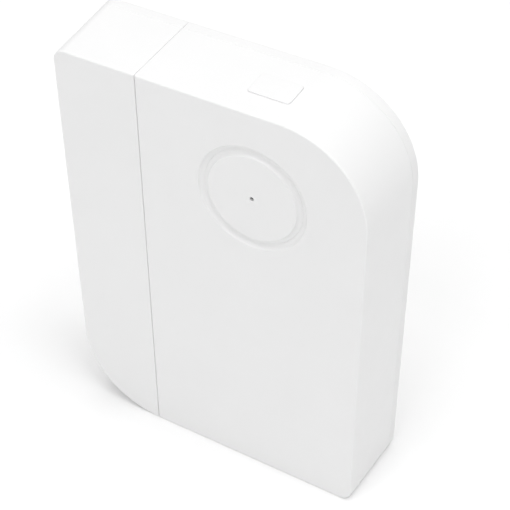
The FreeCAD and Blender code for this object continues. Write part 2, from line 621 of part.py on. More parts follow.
def battery_holder():
    """Moulded cup on the board, open at the front, with a finger notch and a contact slot."""
    back, floor = "Dims.boardFront", "(Dims.boardFront - Dims.cupFloor)"
    ring = rod("CupBlank", "Dims.cellX", "Dims.cellZ",
               "Dims.cellRad + Dims.cupClear + Dims.cupWall", f"{floor} - Dims.cupTall", back)
    bowl = rod("CupBowl", "Dims.cellX", "Dims.cellZ", "Dims.cellRad + Dims.cupClear",
               f"{floor} - Dims.cupTall - 1", floor)
    window = rod("CupWindow", "Dims.cellX", "Dims.cellZ", "Dims.cupWindow", f"{floor} - 1", f"{back} + 1")
    notch = box("CupNotch", ("Dims.cellX - Dims.notchHalf", f"{floor} - Dims.cupTall - 1", "Dims.cellZ"),
                ("Dims.cellX + Dims.notchHalf", f"{floor} - 1", "Dims.cellZ + 20"))
    slot = box("CupSlot", ("Dims.cellX", f"{floor} - Dims.cupTall - 1", "Dims.cellZ - Dims.slotHalf"),
               ("Dims.cellX + 20", f"{back} + 1", "Dims.cellZ + Dims.slotHalf"))
    node("battery_holder", cut("Cup", ring, fuse("CupCuts", bowl, window, notch, slot)))


def sheet_strip(name, points, low, high):
    """A strip of sheet metal: a closed outline of (x, y) points, extruded along Z."""
    corners = [Vector(x, y, low) for x, y in points]
    face = Part.Face(Part.makePolygon(corners + corners[:1]))
    strip = doc.addObject("Part::Feature", name)
    strip.Shape = face.extrude(Vector(0, 0, high - low))
    return strip


def battery_contacts():
    """Arched strip under the cell's cap, and an upright leaf at its rim."""
    board, x, z = number("Dims.boardFront"), number("Dims.cellX"), number("Dims.cellZ")
    crown, leaf = number("Dims.boardFront - Dims.cupFloor - 0.03"), 0.2
    arch = [(x - 6, board), (x - 6, board - leaf), (x - 4, board - leaf), (x - 1.5, crown),
            (x + 1.5, crown), (x + 4, board - leaf), (x + 6, board - leaf), (x + 6, board),
            (x + 3.8, board), (x + 1.3, crown + leaf), (x - 1.3, crown + leaf),
            (x - 3.8, board)]
    node("battery_contact_negative", sheet_strip("CapContact", arch, z - 2, z + 2))
    rim = number("Dims.cellX + Dims.cellRad + 0.04")
    top = number("Dims.boardFront - Dims.cupFloor - 3.2")
    upright = [(rim + leaf, board), (rim + leaf + 2, board), (rim + leaf + 2, board - leaf),
               (rim + 2 * leaf, board - leaf), (rim + leaf, top), (rim, top),
               (rim, top + 1.2), (rim + leaf * 0.8, top + 1.9)]
    node("battery_contact_positive", sheet_strip("RimContact", upright, z - 2.5, z + 2.5))


def tact_switch():
    """Push switch under the button: square case, and the plunger that the button's nose moves."""
    x, z = "Dims.buttonX", f"(Dims.buttonZ - {SWITCH_DROP})"
    front = "(Dims.boardFront - 3.3)"
    case = box("SwitchCase", (f"{x} - 3", front, f"{z} - 3"),
               (f"{x} + 3", "Dims.boardFront", f"{z} + 3"))
    well = rod("SwitchWell", x, z, "1.75", f"{front} - 1", f"{front} + 1.6")
    node("button_switch_case", cut("SwitchBody", case, well))
    node("button_switch_plunger", rod("SwitchPlunger", x, z, "1.7", SWITCH_TIP, f"{front} + 1"))


def tamper_switch():
    """Small switch that the cover's post holds down while the cover is on."""
    front = "(Dims.boardFront - 2.2)"
    case = box("TamperCase", (f"{TAMPER_X} - 2.2", front, f"{TAMPER_Z} - 2.2"),
               (f"{TAMPER_X} + 2.2", "Dims.boardFront", f"{TAMPER_Z} + 2.2"))
    well = rod("TamperWell", TAMPER_X, TAMPER_Z, "0.95", f"{front} - 1", f"{front} + 1.4")
    node("tamper_switch_case", cut("TamperBody", case, well))
    node("tamper_switch_plunger", rod("TamperPlunger", TAMPER_X, TAMPER_Z, "0.9",
                                      "Dims.boardFront - 3", f"{front} + 1.3"))


def status_led():
    x, z = "Dims.buttonX", "Dims.buttonZ"
    base = box("LedBase", (f"{x} - 1", "Dims.boardFront - 0.35", f"{z} - 0.6"),
               (f"{x} + 1", "Dims.boardFront", f"{z} + 0.6"))
    lens = box("LedLens", (f"{x} - 0.6", "Dims.boardFront - 0.7", f"{z} - 0.6"),
               (f"{x} + 0.6", "Dims.boardFront - 0.3", f"{z} + 0.6"))
    node("status_led", fuse("Led", base, lens))


def radio_parts():
    """Radio chip under its shield, the crystal, the aerial and the small chip parts."""
    board = "Dims.boardFront"
    left, right, low, high = "-5.6", "5.4", "38.2", "47.2"
    lid = box("ShieldOuter", (left, f"{board} - 2", low), (right, board, high))
    room = box("ShieldRoom", (f"{left} + 0.25", f"{board} - 1.75", f"{low} + 0.25"),
               (f"{right} - 0.25", f"{board} + 1", f"{high} - 0.25"))
    node("radio_shield", cut("Shield", lid, room))
    node("radio_chip", box("ChipBody", ("-2.6", f"{board} - 0.9", "40.2"),
                           ("2.4", board, "45.2")))
    crystal = box("CrystalCan", ("8", f"{board} - 1", "42.6"), ("11.2", board, "45.1"))
    node("crystal", crystal)
    strip = box("AerialStrip", ("9.4", f"{board} - 3.4", "59.6"), ("17.5", f"{board} - 3.1", "61.6"))
    legs = [box(f"AerialLeg{index}", (x, f"{board} - 3.2", "59.6"), (f"{x} + 0.3", board, "60.8"))
            for index, x in enumerate(("9.4", "12.4"))]
    node("aerial", fuse("Aerial", strip, *legs))
    chips = []
    places = ((14.5, 37.6), (14.5, 39.4), (16.7, 37.6), (16.7, 39.4), (12.4, 37.6), (-1, 49.6),
              (1.2, 49.6), (16.4, 49), (18.6, 49), (18.6, 51))
    for index, (x, z) in enumerate(places):
        chips.append(box(f"Chip{index}", (x, f"{board} - 0.55", z), (x + 1.6, board, z + 0.85)))
    node("chip_parts", group("ChipParts", *chips))


# ---------------------------------------------------------------- build, test and write

for make in (sensor_front_cover, push_button, light_pipe, release_tab, sensor_rear_base,
             magnet_front_cover, magnet_rear_base, bar_magnet, magnet_foam, circuit_board,
             board_screws, reed_switch, coin_cell, battery_holder, battery_contacts, tact_switch,
             tamper_switch, status_led, radio_parts):
    make()
adhesive_pad("sensor_adhesive_pad", "SensorTape", SENSOR_PAD)
adhesive_pad("magnet_adhesive_pad", "MagnetTape", MAGNET_PAD)
doc.recompute()

for thing in doc.Objects:
    if {"Invalid", "Error"} & set(thing.State):
        raise RuntimeError(f"{thing.Name} ({thing.Label}) failed: {thing.State}")

for name, thing in nodes.items():
    shape = thing.Shape
    if shape.isNull() or not shape.isValid() or not shape.Solids:
        raise RuntimeError(f"{name} has no valid solid")
    shape.exportStep(f"parts/{name}.step")
    size = shape.BoundBox
    print(f"{name:26s} solids {len(shape.Solids)} volume {shape.Volume:9.2f}"
          f"  x {size.XMin:7.2f} {size.XMax:7.2f}  y {size.YMin:6.2f} {size.YMax:6.2f}"
          f"  z {size.ZMin:6.2f} {size.ZMax:6.2f}")
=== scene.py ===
import math

import bmesh
import bpy
from mathutils import Matrix, Vector


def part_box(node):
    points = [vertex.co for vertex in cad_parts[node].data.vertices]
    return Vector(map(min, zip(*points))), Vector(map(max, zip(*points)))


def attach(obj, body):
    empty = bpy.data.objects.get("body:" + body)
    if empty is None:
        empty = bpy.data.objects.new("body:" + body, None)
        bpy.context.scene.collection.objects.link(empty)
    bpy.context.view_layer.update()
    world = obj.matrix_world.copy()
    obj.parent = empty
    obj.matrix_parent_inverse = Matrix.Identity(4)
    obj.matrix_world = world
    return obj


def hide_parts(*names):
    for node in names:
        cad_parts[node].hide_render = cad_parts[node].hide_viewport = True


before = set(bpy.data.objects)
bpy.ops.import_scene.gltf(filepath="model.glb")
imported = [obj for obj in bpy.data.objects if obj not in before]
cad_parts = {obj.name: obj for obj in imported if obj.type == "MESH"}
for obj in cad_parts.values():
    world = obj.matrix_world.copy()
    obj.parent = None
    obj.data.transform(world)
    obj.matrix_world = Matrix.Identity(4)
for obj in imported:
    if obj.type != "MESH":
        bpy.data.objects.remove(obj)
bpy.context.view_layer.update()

# Looks of a door contact sensor: drafted white shells, the press disc in its groove, the release
# tab, the rear plates, and the board with its parts.  Shapes are made in millimetres in the CAD
# frame (+Z up, fronts to -Y) and scaled to metres once, when a piece is finished.

MM = 0.001


def node_box(node):
    """Lowest and highest corner of a CAD node, in millimetres."""
    low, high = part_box(node)
    return low / MM, high / MM


def middle_of(low, high):
    """The middle of a box, as (x, z)."""
    return (low.x + high.x) / 2, (low.z + high.z) / 2


# ---------------------------------------------------------------- sizes from the frame

cover_low, cover_high = node_box("sensor_front_cover")
base_low, base_high = node_box("sensor_rear_base")
magnet_low, magnet_high = node_box("magnet_rear_base")
button_low, button_high = node_box("push_button")
tab_low, tab_high = node_box("release_tab")
board_low, board_high = node_box("circuit_board")

FRONT, BACK, SPLIT = cover_low.y, base_high.y, cover_high.y
DEPTH = BACK - FRONT
DRAFT = 0.8                                   # how far each outer wall spreads from front to back
FRONT_TOP = base_high.z - DRAFT
FRONT_RIGHT = base_high.x - DRAFT
FRONT_LEFT = magnet_low.x + DRAFT
SENSOR_SEAM, MAGNET_SEAM = base_low.x, magnet_high.x
BIG_CORNER, SMALL_CORNER, SEAM_CORNER = 13.9, 2.1, 0.03
WALL, FACE_WALL = 1.3, 1.5
EDGE_ROUND, SEAM_ROUND, SPLIT_EASE = 0.25, 0.15, 0.09
BUTTON = Vector(((button_low.x + button_high.x) / 2, FRONT, 55.6))
DISC_RADIUS, GROOVE_RADIUS, GROOVE_DEEP, BUTTON_GAP = 7.12, 8.77, 0.5, 0.02
PINHOLE_RADIUS = 0.32
TAB_WIDE, TAB_DEEP, TAB_PROUD, TAB_GAP, TAB_CORNER = 6.6, 4.4, 0.2, 0.02, 0.5
TAB_X, TAB_PLACE = 7.45, -0.9                  # the tab's middle along the top wall
DISC_THICK, SOCKET_RADIUS, HOLLOW_RADIUS, NOSE_RADIUS, NOSE_DROP = 1.2, 1.75, 6.5, 1.5, 4.6
REST_GAP, FLANGE_THICK, PRESS_TRAVEL, LIP_GAP = 0.05, 0.8, 0.4, 0.1
FLANGE_FRONT = FRONT + FACE_WALL + REST_GAP
FLANGE_BACK = FLANGE_FRONT + FLANGE_THICK
RIM_CLEAR, RIM_THICK, RIM_TALL = 0.15, 0.9, 1.6
WALL_HOLE, PAD_DEEP, SUNK = 1.75, 0.5, 0.3      # SUNK is how far a post runs into its plate
SENSOR_HOLES, MAGNET_HOLES = ((-4, 4.8), (-4, 65.2)), ((-19, 21), (-19, 63))
SENSOR_RECESS, MAGNET_RECESS = (-6.5, 20.5, 12, 56), (-23, -14, 27, 57)   # left, right, low, high
BOARD_SCREWS, BOARD_PEGS = ((-7.0, 12.0), (20.2, 40.0)), ((20.6, 10.6), (-7.0, 59.6))
BOSS_RADIUS, SHELF_RADIUS, PEG_RADIUS, PEG_TALL = 2.1, 1.6, 0.9, 1.3

# ---------------------------------------------------------------- meshes


def arc(centre, radius, start, stop, steps):
    """Points on a circle in the XZ plane, both ends included; angles in degrees."""
    return [
        (centre[0] + radius * math.cos(math.radians(start + (stop - start) * i / steps)),
         centre[1] + radius * math.sin(math.radians(start + (stop - start) * i / steps)))
        for i in range(steps + 1)
    ]


def rounded_box(left, right, low, high, corners, steps=(10, 10, 10, 10)):
    """Outline of a rectangle with a radius at low right, high right, high left and low left."""
    places = [(right, low, -1, 1), (right, high, -1, -1), (left, high, 1, -1), (left, low, 1, 1)]
    points = []
    for turn, ((x, z, sx, sz), radius, count) in enumerate(zip(places, corners, steps)):
        centre = (x + sx * radius, z + sz * radius)
        points += arc(centre, radius, 90 * turn - 90, 90 * turn, count)
    return points


def flare(y):
    return DRAFT * (y - FRONT) / DEPTH


def sensor_outline(y, inset=0.0, seam=None):
    """Sensor unit's outline at a depth, drawn in by an inset; the seam wall may have its own."""
    spread = flare(y) - inset
    seam_inset = inset if seam is None else seam
    return rounded_box(
        SENSOR_SEAM + seam_inset, FRONT_RIGHT + spread, inset, FRONT_TOP + spread,
        (max(SMALL_CORNER - inset, 0.6), BIG_CORNER + spread, SEAM_CORNER, SEAM_CORNER),
        (14, 56, 2, 2))


def magnet_outline(y, inset=0.0, seam=None):
    """Magnet unit's outline: one big arc takes its whole foot."""
    spread = flare(y) - inset
    left, right = FRONT_LEFT - spread, MAGNET_SEAM - (inset if seam is None else seam)
    low, high = inset, FRONT_TOP + spread
    foot = right - left
    points = arc((right - SEAM_CORNER, high - SEAM_CORNER), SEAM_CORNER, 0, 90, 2)
    corner = max(SMALL_CORNER - inset, 0.6)
    points += arc((left + corner, high - corner), corner, 90, 180, 14)
    points += arc((right, low + foot), foot, 180, 270, 56)
    return points


def round_steps(radius, steps):
    """(inset, depth) pairs of a quarter round, from the face to the wall."""
    turns = [math.pi / 2 * i / steps for i in range(steps + 1)]
    return [(radius * (1 - math.sin(t)), radius * (1 - math.cos(t))) for t in turns]


def stack_rings(bm, rings):
    """Rings of (x, y, z) points with equal counts, joined by quads; returns the vertex rings."""
    made = [[bm.verts.new(point) for point in ring] for ring in rings]
    for lower, upper in zip(made, made[1:]):
        count = len(lower)
        for i in range(count):
            j = (i + 1) % count
            bm.faces.new((lower[i], lower[j], upper[j], upper[i]))
    return made


def closed_stack(rings):
    """A closed solid from rings, its first and last ring filled."""
    bm = bmesh.new()
    made = stack_rings(bm, rings)
    bm.faces.new(made[0])
    bm.faces.new(list(reversed(made[-1])))
    bmesh.ops.recalc_face_normals(bm, faces=bm.faces)
    return bm


def at_depth(points, y):
    return [(x, y, z) for x, z in points]


def revolve_y(profile, centre, steps=96):
    """Rings of a profile of (radius, y), turned about the Y axis through centre (x, z)."""
    turns = [2 * math.pi * i / steps for i in range(steps)]
    return [[(centre[0] + r * math.cos(t), y, centre[1] + r * math.sin(t)) for t in turns]
            for r, y in profile]


def rod_y(x, z, radius, front, back, ease=0.0, steps=48):
    """A round post along Y, its front end eased."""
    profile = [(radius - ease, front), (radius, front + ease), (radius, back)] if ease else [
        (radius, front), (radius, back)]
    return closed_stack(revolve_y(profile, (x, z), steps))


def slab(outline_of, front, back, ease_front=0.0, ease_back=0.0, steps=4):
    """A plate between two depths with a drafted outline and eased edges."""
    rings = []
    if ease_front:
        rings += [at_depth(outline_of(front + d, i), front + d)
                  for i, d in round_steps(ease_front, steps)]
    else:
        rings.append(at_depth(outline_of(front, 0), front))
    if ease_back:
        rings += [at_depth(outline_of(back - d, i), back - d)
                  for i, d in reversed(round_steps(ease_back, steps))]
    else:
        rings.append(at_depth(outline_of(back, 0), back))
    return closed_stack(rings)


def eased_block(low, high, corner=0.15, ease=0.08, back_ease=0.0, steps=3):
    """A block with rounded upright corners and eased front and rear edges."""
    def outline_of(_, inset):
        return rounded_box(low[0] + inset, high[0] - inset, low[2] + inset, high[2] - inset,
                           [max(corner - inset, 0.01)] * 4, (4, 4, 4, 4))

    return slab(outline_of, low[1], high[1], ease, back_ease, steps)


def turned_solid(profile, x, z, steps=48):
    """A solid of revolution about Y; its first and last radius are closed with a flat."""
    return closed_stack(revolve_y(profile, (x, z), steps))


def turned_ring(profile, x, z, steps=64):
    """A solid of revolution about Y from a closed profile that stays off the axis."""
    bm = bmesh.new()
    rings = revolve_y(profile, (x, z), steps)
    stack_rings(bm, rings + [rings[0]])
    bmesh.ops.remove_doubles(bm, verts=bm.verts, dist=1e-5)
    bmesh.ops.recalc_face_normals(bm, faces=bm.faces)
    return bm


def track(start, end, width, front, back):
    """A flat strip with round ends between two points (x, z)."""
    turn = math.degrees(math.atan2(end[1] - start[1], end[0] - start[0]))
    points = arc(end, width / 2, turn - 90, turn + 90, 6) + arc(start, width / 2, turn + 90,
                                                                turn + 270, 6)
    return closed_stack([at_depth(points, front), at_depth(points, back)])


def solid_boxes(node):
    """Lowest and highest corner, in millimetres, of each separate solid of a CAD node."""
    bm = bmesh.new()
    bm.from_mesh(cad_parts[node].data)
    bmesh.ops.remove_doubles(bm, verts=bm.verts, dist=1e-7)
    waiting, found = set(bm.verts), []
    while waiting:
        stack, island = [waiting.pop()], []
        while stack:
            vertex = stack.pop()
            island.append(vertex.co / MM)
            for edge in vertex.link_edges:
                other = edge.other_vert(vertex)
                if other in waiting:
                    waiting.discard(other)
                    stack.append(other)
        found.append((Vector([min(c[i] for c in island) for i in range(3)]),
                      Vector([max(c[i] for c in island) for i in range(3)])))
    bm.free()
    return sorted(found, key=lambda box: tuple(round(v, 3) for v in box[0]))


def gather(name, solids):
    """One object from several closed solids that stand apart or only meet."""
    whole = bmesh.new()
    for solid in solids:
        part = bpy.data.meshes.new("part")
        solid.to_mesh(part)
        solid.free()
        whole.from_mesh(part)
        bpy.data.meshes.remove(part)
    return to_object(name, whole)


def to_object(name, bm):
    mesh = bpy.data.meshes.new(name)
    bm.to_mesh(mesh)
    bm.free()
    made = bpy.data.objects.new(name, mesh)
    bpy.context.scene.collection.objects.link(made)
    return made


def settle(piece):
    """Turn a piece's modifiers into its mesh."""
    bpy.context.view_layer.update()
    graph = bpy.context.evaluated_depsgraph_get()
    mesh = bpy.data.meshes.new_from_object(piece.evaluated_get(graph))
    piece.modifiers.clear()
    piece.data = mesh


def combine(piece, operation, *tools):
    """Boolean of a piece with tool solids, which are then removed."""
    for tool in tools:
        step = piece.modifiers.new("combine", "BOOLEAN")
        step.operation = operation
        step.solver = "EXACT"
        step.object = tool
    settle(piece)
    for tool in tools:
        bpy.data.objects.remove(tool)
    return piece


def finish_piece(piece, body, material, stands_for=(), sharp=32):
    """Clean, scale to metres, shade, and hang on a CAD body."""
    bm = bmesh.new()
    bm.from_mesh(piece.data)
    bmesh.ops.remove_doubles(bm, verts=bm.verts, dist=1e-4)
    bmesh.ops.dissolve_degenerate(bm, edges=bm.edges, dist=1e-4)
    bmesh.ops.recalc_face_normals(bm, faces=bm.faces)
    bm.to_mesh(piece.data)
    bm.free()
    mesh = piece.data
    mesh.transform(Matrix.Scale(MM, 4))
    mesh.shade_smooth()
    mesh.set_sharp_from_angle(angle=math.radians(sharp))
    weighted = piece.modifiers.new("weighted", "WEIGHTED_NORMAL")
    weighted.keep_sharp = True
    weighted.weight = 90
    settle(piece)
    piece.data.materials.clear()
    piece.data.materials.append(material)
    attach(piece, body)
    if stands_for:
        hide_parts(*stands_for)


# ---------------------------------------------------------------- materials


class Paint:
    """A new material, whose nodes are added one call at a time."""

    def __init__(self, name):
        self.material = bpy.data.materials.new(name)
        self.material.use_nodes = True
        self.tree = self.material.node_tree
        self.tree.nodes.clear()
        self.shader = self.tree.nodes.new("ShaderNodeBsdfPrincipled")
        surface = self.tree.nodes.new("ShaderNodeOutputMaterial").inputs["Surface"]
        self.tree.links.new(self.shader.outputs["BSDF"], surface)
        self.place = self.node("ShaderNodeTexCoord", "Object")

    def fill(self, node, inputs):
        """Link a node's inputs to other nodes' outputs, or set their values."""
        for key, value in inputs.items():
            if isinstance(value, bpy.types.NodeSocket):
                self.tree.links.new(value, node.inputs[key])
            else:
                node.inputs[key].default_value = value

    def node(self, kind, output, inputs=None, **settings):
        """Add a node with its settings and inputs; returns the output asked for."""
        node = self.tree.nodes.new(kind)
        for name, value in settings.items():
            setattr(node, name, value)
        self.fill(node, inputs or {})
        return node.outputs[output]

    def noise(self, size, detail=3.0, rough=0.5):
        """A noise whose features are about size metres across."""
        return self.node("ShaderNodeTexNoise", "Fac", {
            "Vector": self.place, "Scale": 1 / size, "Detail": detail, "Roughness": rough})

    def spread(self, source, low=0.0, high=1.0, start=0.3, stop=0.7):
        """Map a noise to a range of values."""
        return self.node("ShaderNodeMapRange", "Result", {
            "Value": source, "From Min": start, "From Max": stop, "To Min": low, "To Max": high})

    def worn_edge(self, reach=0.00018):
        """A mask that is 1 on an object's own edges and 0 on its flats, from the bevel normal."""
        bevel = self.node("ShaderNodeBevel", "Normal", {"Radius": reach}, samples=6)
        flat = self.node("ShaderNodeNewGeometry", "Normal")
        agree = self.node("ShaderNodeVectorMath", "Value", {0: bevel, 1: flat},
                          operation="DOT_PRODUCT")
        return self.spread(agree, 1.0, 0.0, 0.90, 0.995)

    def mixed(self, factor, first, second):
        """A colour between two, each a fixed colour or another node's output."""
        first, second = [(*end, 1) if isinstance(end, tuple) else end for end in (first, second)]
        return self.node("ShaderNodeMix", "Result", {"Factor": factor, "A": first, "B": second},
                         data_type="RGBA")

    def aged(self, stain, colour, shade, worn, reach):
        """A colour that a stain darkens in places, with its worn edges."""
        tint = self.mixed(self.spread(stain), scaled(colour, shade), colour)
        return self.mixed(self.worn_edge(reach), tint, scaled(colour, worn))

    def coat(self, colour, rough, relief=None, others=None):
        """Finish the shader; relief is (height, strength, lift). Returns the material."""
        self.fill(self.shader, {"Base Color": colour, "Roughness": rough, **(others or {})})
        if relief:
            height, strength, lift = relief
            self.fill(self.shader, {"Normal": self.node("ShaderNodeBump", "Normal", {
                "Height": height, "Strength": strength, "Distance": lift})})
        return self.material


def scaled(colour, share):
    return tuple(min(c * share, 1.0) for c in colour)


def moulded(name, colour, rough=0.46, shade=0.985, worn=1.02):
    """Moulded plastic: fine spark texture, faint colour drift and slightly polished edges."""
    grain, bump, lift, polish, specular = 0.00016, 0.25, 0.00001, -0.10, 0.4
    paint = Paint(name)
    drift = paint.spread(paint.noise(0.012, 4.0), 0.0, 1.0, 0.25, 0.75)
    tint = paint.mixed(drift, scaled(colour, shade), colour)
    edge = paint.worn_edge()
    matt = paint.spread(paint.noise(0.004, 3.0), rough - 0.05, rough + 0.05)
    satin = paint.node("ShaderNodeMath", "Value", {0: edge, 1: polish, 2: matt},
                       operation="MULTIPLY_ADD")
    return paint.coat(paint.mixed(edge, tint, scaled(colour, worn)), satin,
                      (paint.noise(grain, 2.0), bump, lift), {"Specular IOR Level": specular})


def metal(name, colour, rough=0.28, brushed=(1.0, 1.0, 30.0), size=0.002):
    """Metal sheet: brush lines stretched along one axis, faint stain and brighter edges."""
    paint = Paint(name)
    stretch = paint.node("ShaderNodeMapping", "Vector", {"Vector": paint.place, "Scale": brushed})
    lines = paint.node("ShaderNodeTexNoise", "Fac", {
        "Vector": stretch, "Scale": 1 / size, "Detail": 4})
    return paint.coat(paint.aged(paint.noise(0.003, 4.0), colour, 0.86, 1.15, 0.0001),
                      paint.spread(lines, rough - 0.08, rough + 0.1),
                      (lines, 0.12, 0.000006), {"Metallic": 1.0})


def turned_metal(name, colour, centre, rough=0.24):
    """Steel whose fine rings run round a centre (x, z) in millimetres, as a drawn can's do."""
    ring = 0.00025
    paint = Paint(name)
    shift = paint.node("ShaderNodeMapping", "Vector", {
        "Vector": paint.place, "Location": (-centre[0] * MM, 0, -centre[1] * MM),
        "Scale": (1, 0, 1)})
    span = paint.node("ShaderNodeVectorMath", "Value", {0: shift}, operation="LENGTH")
    rings = paint.node("ShaderNodeTexNoise", "Fac", {"W": span, "Scale": 1 / ring, "Detail": 5},
                       noise_dimensions="1D")
    return paint.coat(paint.aged(paint.noise(0.004, 5.0), colour, 0.88, 1.15, 0.00015),
                      paint.spread(rings, rough - 0.06, rough + 0.12),
                      (rings, 0.15, 0.000004), {"Metallic": 1.0})


def solder_mask(name, colour):
    """Satin lacquer over the board's weave, with faint drift and paler worn edges."""
    thread, worn = 0.0022, (0.42, 0.44, 0.25)
    paint = Paint(name)
    drift = paint.noise(0.009, 4.0)
    tint = paint.mixed(paint.spread(drift), scaled(colour, 0.8), scaled(colour, 1.1))
    threads = [paint.node("ShaderNodeTexWave", "Fac", {
        "Vector": paint.place, "Scale": 1 / thread, "Distortion": 1.2}, bands_direction=way)
        for way in ("X", "Z")]
    weave = paint.node("ShaderNodeMath", "Value", dict(enumerate(threads)), operation="MULTIPLY")
    return paint.coat(paint.mixed(paint.worn_edge(0.0002), tint, worn),
                      paint.spread(drift, 0.26, 0.38), (weave, 0.10, 0.000008))


def glassy(name, colour, rough=0.06):
    """Clear moulded or drawn glass with faint draw lines."""
    paint = Paint(name)
    drift = paint.noise(0.0015, 3.0)
    return paint.coat(paint.mixed(paint.spread(drift), scaled(colour, 0.92), colour),
                      paint.spread(drift, rough, rough + 0.08), (drift, 0.08, 0.00001),
                      {"Transmission Weight": 0.9, "IOR": 1.49})


def foamed(name, colour, cell=0.00022):
    """Closed-cell foam: small round pits over the whole surface, with painted shade in the pits
    and painted light on the walls between them.
    """
    paint = Paint(name)
    pits = paint.node("ShaderNodeTexVoronoi", "Distance", {
        "Vector": paint.place, "Scale": 1 / cell})
    depth = paint.spread(pits, 0.0, 1.0, 0.1, 0.6)
    # Colour follows the pits' relief: 0.7 of the foam's colour deep in each pit is painted shade,
    # up to 1.35 on the cell walls is painted light.
    return paint.coat(paint.mixed(depth, scaled(colour, 0.7), scaled(colour, 1.35)),
                      paint.spread(paint.noise(0.001), 0.8, 0.95), (depth, 0.6, 0.00004))


def liner_paper(name, colour):
    """Waxed release liner: fine fibres under a satin coat, with a rubbed edge."""
    paint = Paint(name)
    fibre = paint.noise(0.0004, 6.0, 0.65)
    return paint.coat(paint.aged(paint.noise(0.008, 3.0), colour, 0.94, 0.85, 0.00015),
                      paint.spread(fibre, 0.35, 0.55), (fibre, 0.2, 0.00002))


CELL_CENTRE = tuple(sum(node_box("coin_cell"), Vector()) / 2)[::2]
SHELL_WHITE = (0.80, 0.80, 0.80)
shell = moulded("shell_white", SHELL_WHITE)
# The rear plates' white is the covers' white darkened by 2%: painted shade, matching the darker
# rear edge.
rear_shell = moulded("rear_shell_white", scaled(SHELL_WHITE, 0.98), rough=0.5)
button_white = moulded("button_white", SHELL_WHITE, rough=0.42)
# The light pipe's glass is tinted near black: painted shade that makes the pinhole in front of it
# dark.
pipe_painted_shade = glassy("pipe_painted_shade", (0.12, 0.125, 0.13), 0.12)
board_green = solder_mask("board_green", (0.025, 0.13, 0.065))
trace_green = solder_mask("trace_green", (0.05, 0.22, 0.10))
black_plastic = moulded("black_plastic", (0.03, 0.03, 0.033), rough=0.42, worn=2.2, shade=0.8)
dark_gloss = moulded("dark_gloss", (0.02, 0.02, 0.022), rough=0.3, worn=2.0, shade=0.8)
holder_plastic = moulded("holder_plastic", (0.06, 0.06, 0.064), rough=0.5, worn=1.8, shade=0.85)
steel = metal("steel", (0.62, 0.62, 0.63))
cell_steel = turned_metal("cell_steel", (0.66, 0.66, 0.67), CELL_CENTRE)
tinned = metal("tinned", (0.74, 0.74, 0.74), 0.34, (1.0, 1.0, 1.0), 0.0008)
brass = metal("brass", (0.80, 0.60, 0.28), 0.30, (30.0, 1.0, 1.0))
ceramic = moulded("ceramic_parts", (0.50, 0.38, 0.27), rough=0.55, shade=0.85, worn=1.15)
reed_tube = glassy("reed_tube", (0.62, 0.86, 0.72))
nickel = metal("nickel", (0.60, 0.60, 0.62), 0.22, (1.0, 1.0, 1.0), 0.0012)
foam = foamed("foam", (0.08, 0.08, 0.085))
liner = liner_paper("liner", (0.84, 0.84, 0.81))
lens_cream = moulded("lens_cream", (0.86, 0.82, 0.64), rough=0.22, shade=0.93, worn=1.05)

# ---------------------------------------------------------------- the two covers


def cover_rings(outline_of):
    """Rings from the inner face round the open rear edge to the rounded front face."""
    inside = FRONT + FACE_WALL
    inner_round = 0.5
    rings = [at_depth(outline_of(inside, WALL + inner_round), inside)]
    rings += [at_depth(outline_of(inside + d, WALL + i), inside + d)
              for i, d in round_steps(inner_round, 4)][1:]
    rings.append(at_depth(outline_of(SPLIT, WALL), SPLIT))
    rings += [at_depth(outline_of(SPLIT - d, i, 0.0), SPLIT - d)
              for i, d in round_steps(SPLIT_EASE, 3)]
    rings += [at_depth(outline_of(FRONT + d, i, i * SEAM_ROUND / EDGE_ROUND), FRONT + d)
              for i, d in reversed(round_steps(EDGE_ROUND, 8))]
    return rings


def groove_profile(middle_gap):
    """(radius, y) of the groove cutter, from a round lip at the face to the hole's wall."""
    half = (GROOVE_RADIUS - DISC_RADIUS) / 2
    bend = (half * half + GROOVE_DEEP * GROOVE_DEEP) / (2 * GROOVE_DEEP)
    middle = (GROOVE_RADIUS + DISC_RADIUS) / 2
    centre_y = FRONT + GROOVE_DEEP - bend
    reach = math.asin(half / bend)
    start = math.asin(middle_gap / bend)
    return middle, bend, centre_y, reach, start


def groove_cutter():
    """Cuts the outer half of the groove and the button's hole in the cover."""
    middle, bend, centre_y, reach, start = groove_profile(BUTTON_GAP / 2)
    turns = [reach + (start - reach) * i / 14 for i in range(15)]
    profile = [(GROOVE_RADIUS + 0.12, FRONT - 1.0), (GROOVE_RADIUS + 0.05, FRONT - 0.02),
               (GROOVE_RADIUS + 0.03, FRONT + 0.005)]
    profile += [(middle + bend * math.sin(t), centre_y + bend * math.cos(t)) for t in turns[1:]]
    profile.append((middle + BUTTON_GAP / 2, FRONT + FACE_WALL + 3))
    return to_object("groove_cutter", closed_stack(revolve_y(profile, (BUTTON.x, BUTTON.z), 160)))


def tab_prism(name, grow, low, high, ease=0.0):
    """A rounded prism at the tab's place, tilted with the drafted top wall."""
    slope = math.atan2(DRAFT, DEPTH)
    wide, deep = TAB_WIDE / 2 + grow, TAB_DEEP / 2 + grow
    corner = TAB_CORNER + grow
    edge = round_steps(ease, 4) if ease else [(0.0, 0.0)]
    levels = [(0.0, low)] + [(i, high - d) for i, d in reversed(edge)]
    rings = []
    for inset, level in levels:
        flat = rounded_box(-wide + inset, wide - inset, -deep + inset, deep - inset,
                           [max(corner - inset, 0.05)] * 4, (6, 6, 6, 6))
        rings.append([(x, y, level) for x, y in flat])
    bm = closed_stack(rings)
    middle = Vector((TAB_X, TAB_PLACE, FRONT_TOP + flare(TAB_PLACE)))
    bmesh.ops.transform(bm, matrix=Matrix.Translation(middle) @ Matrix.Rotation(slope, 4, "X"),
                        verts=bm.verts)
    return to_object(name, bm)


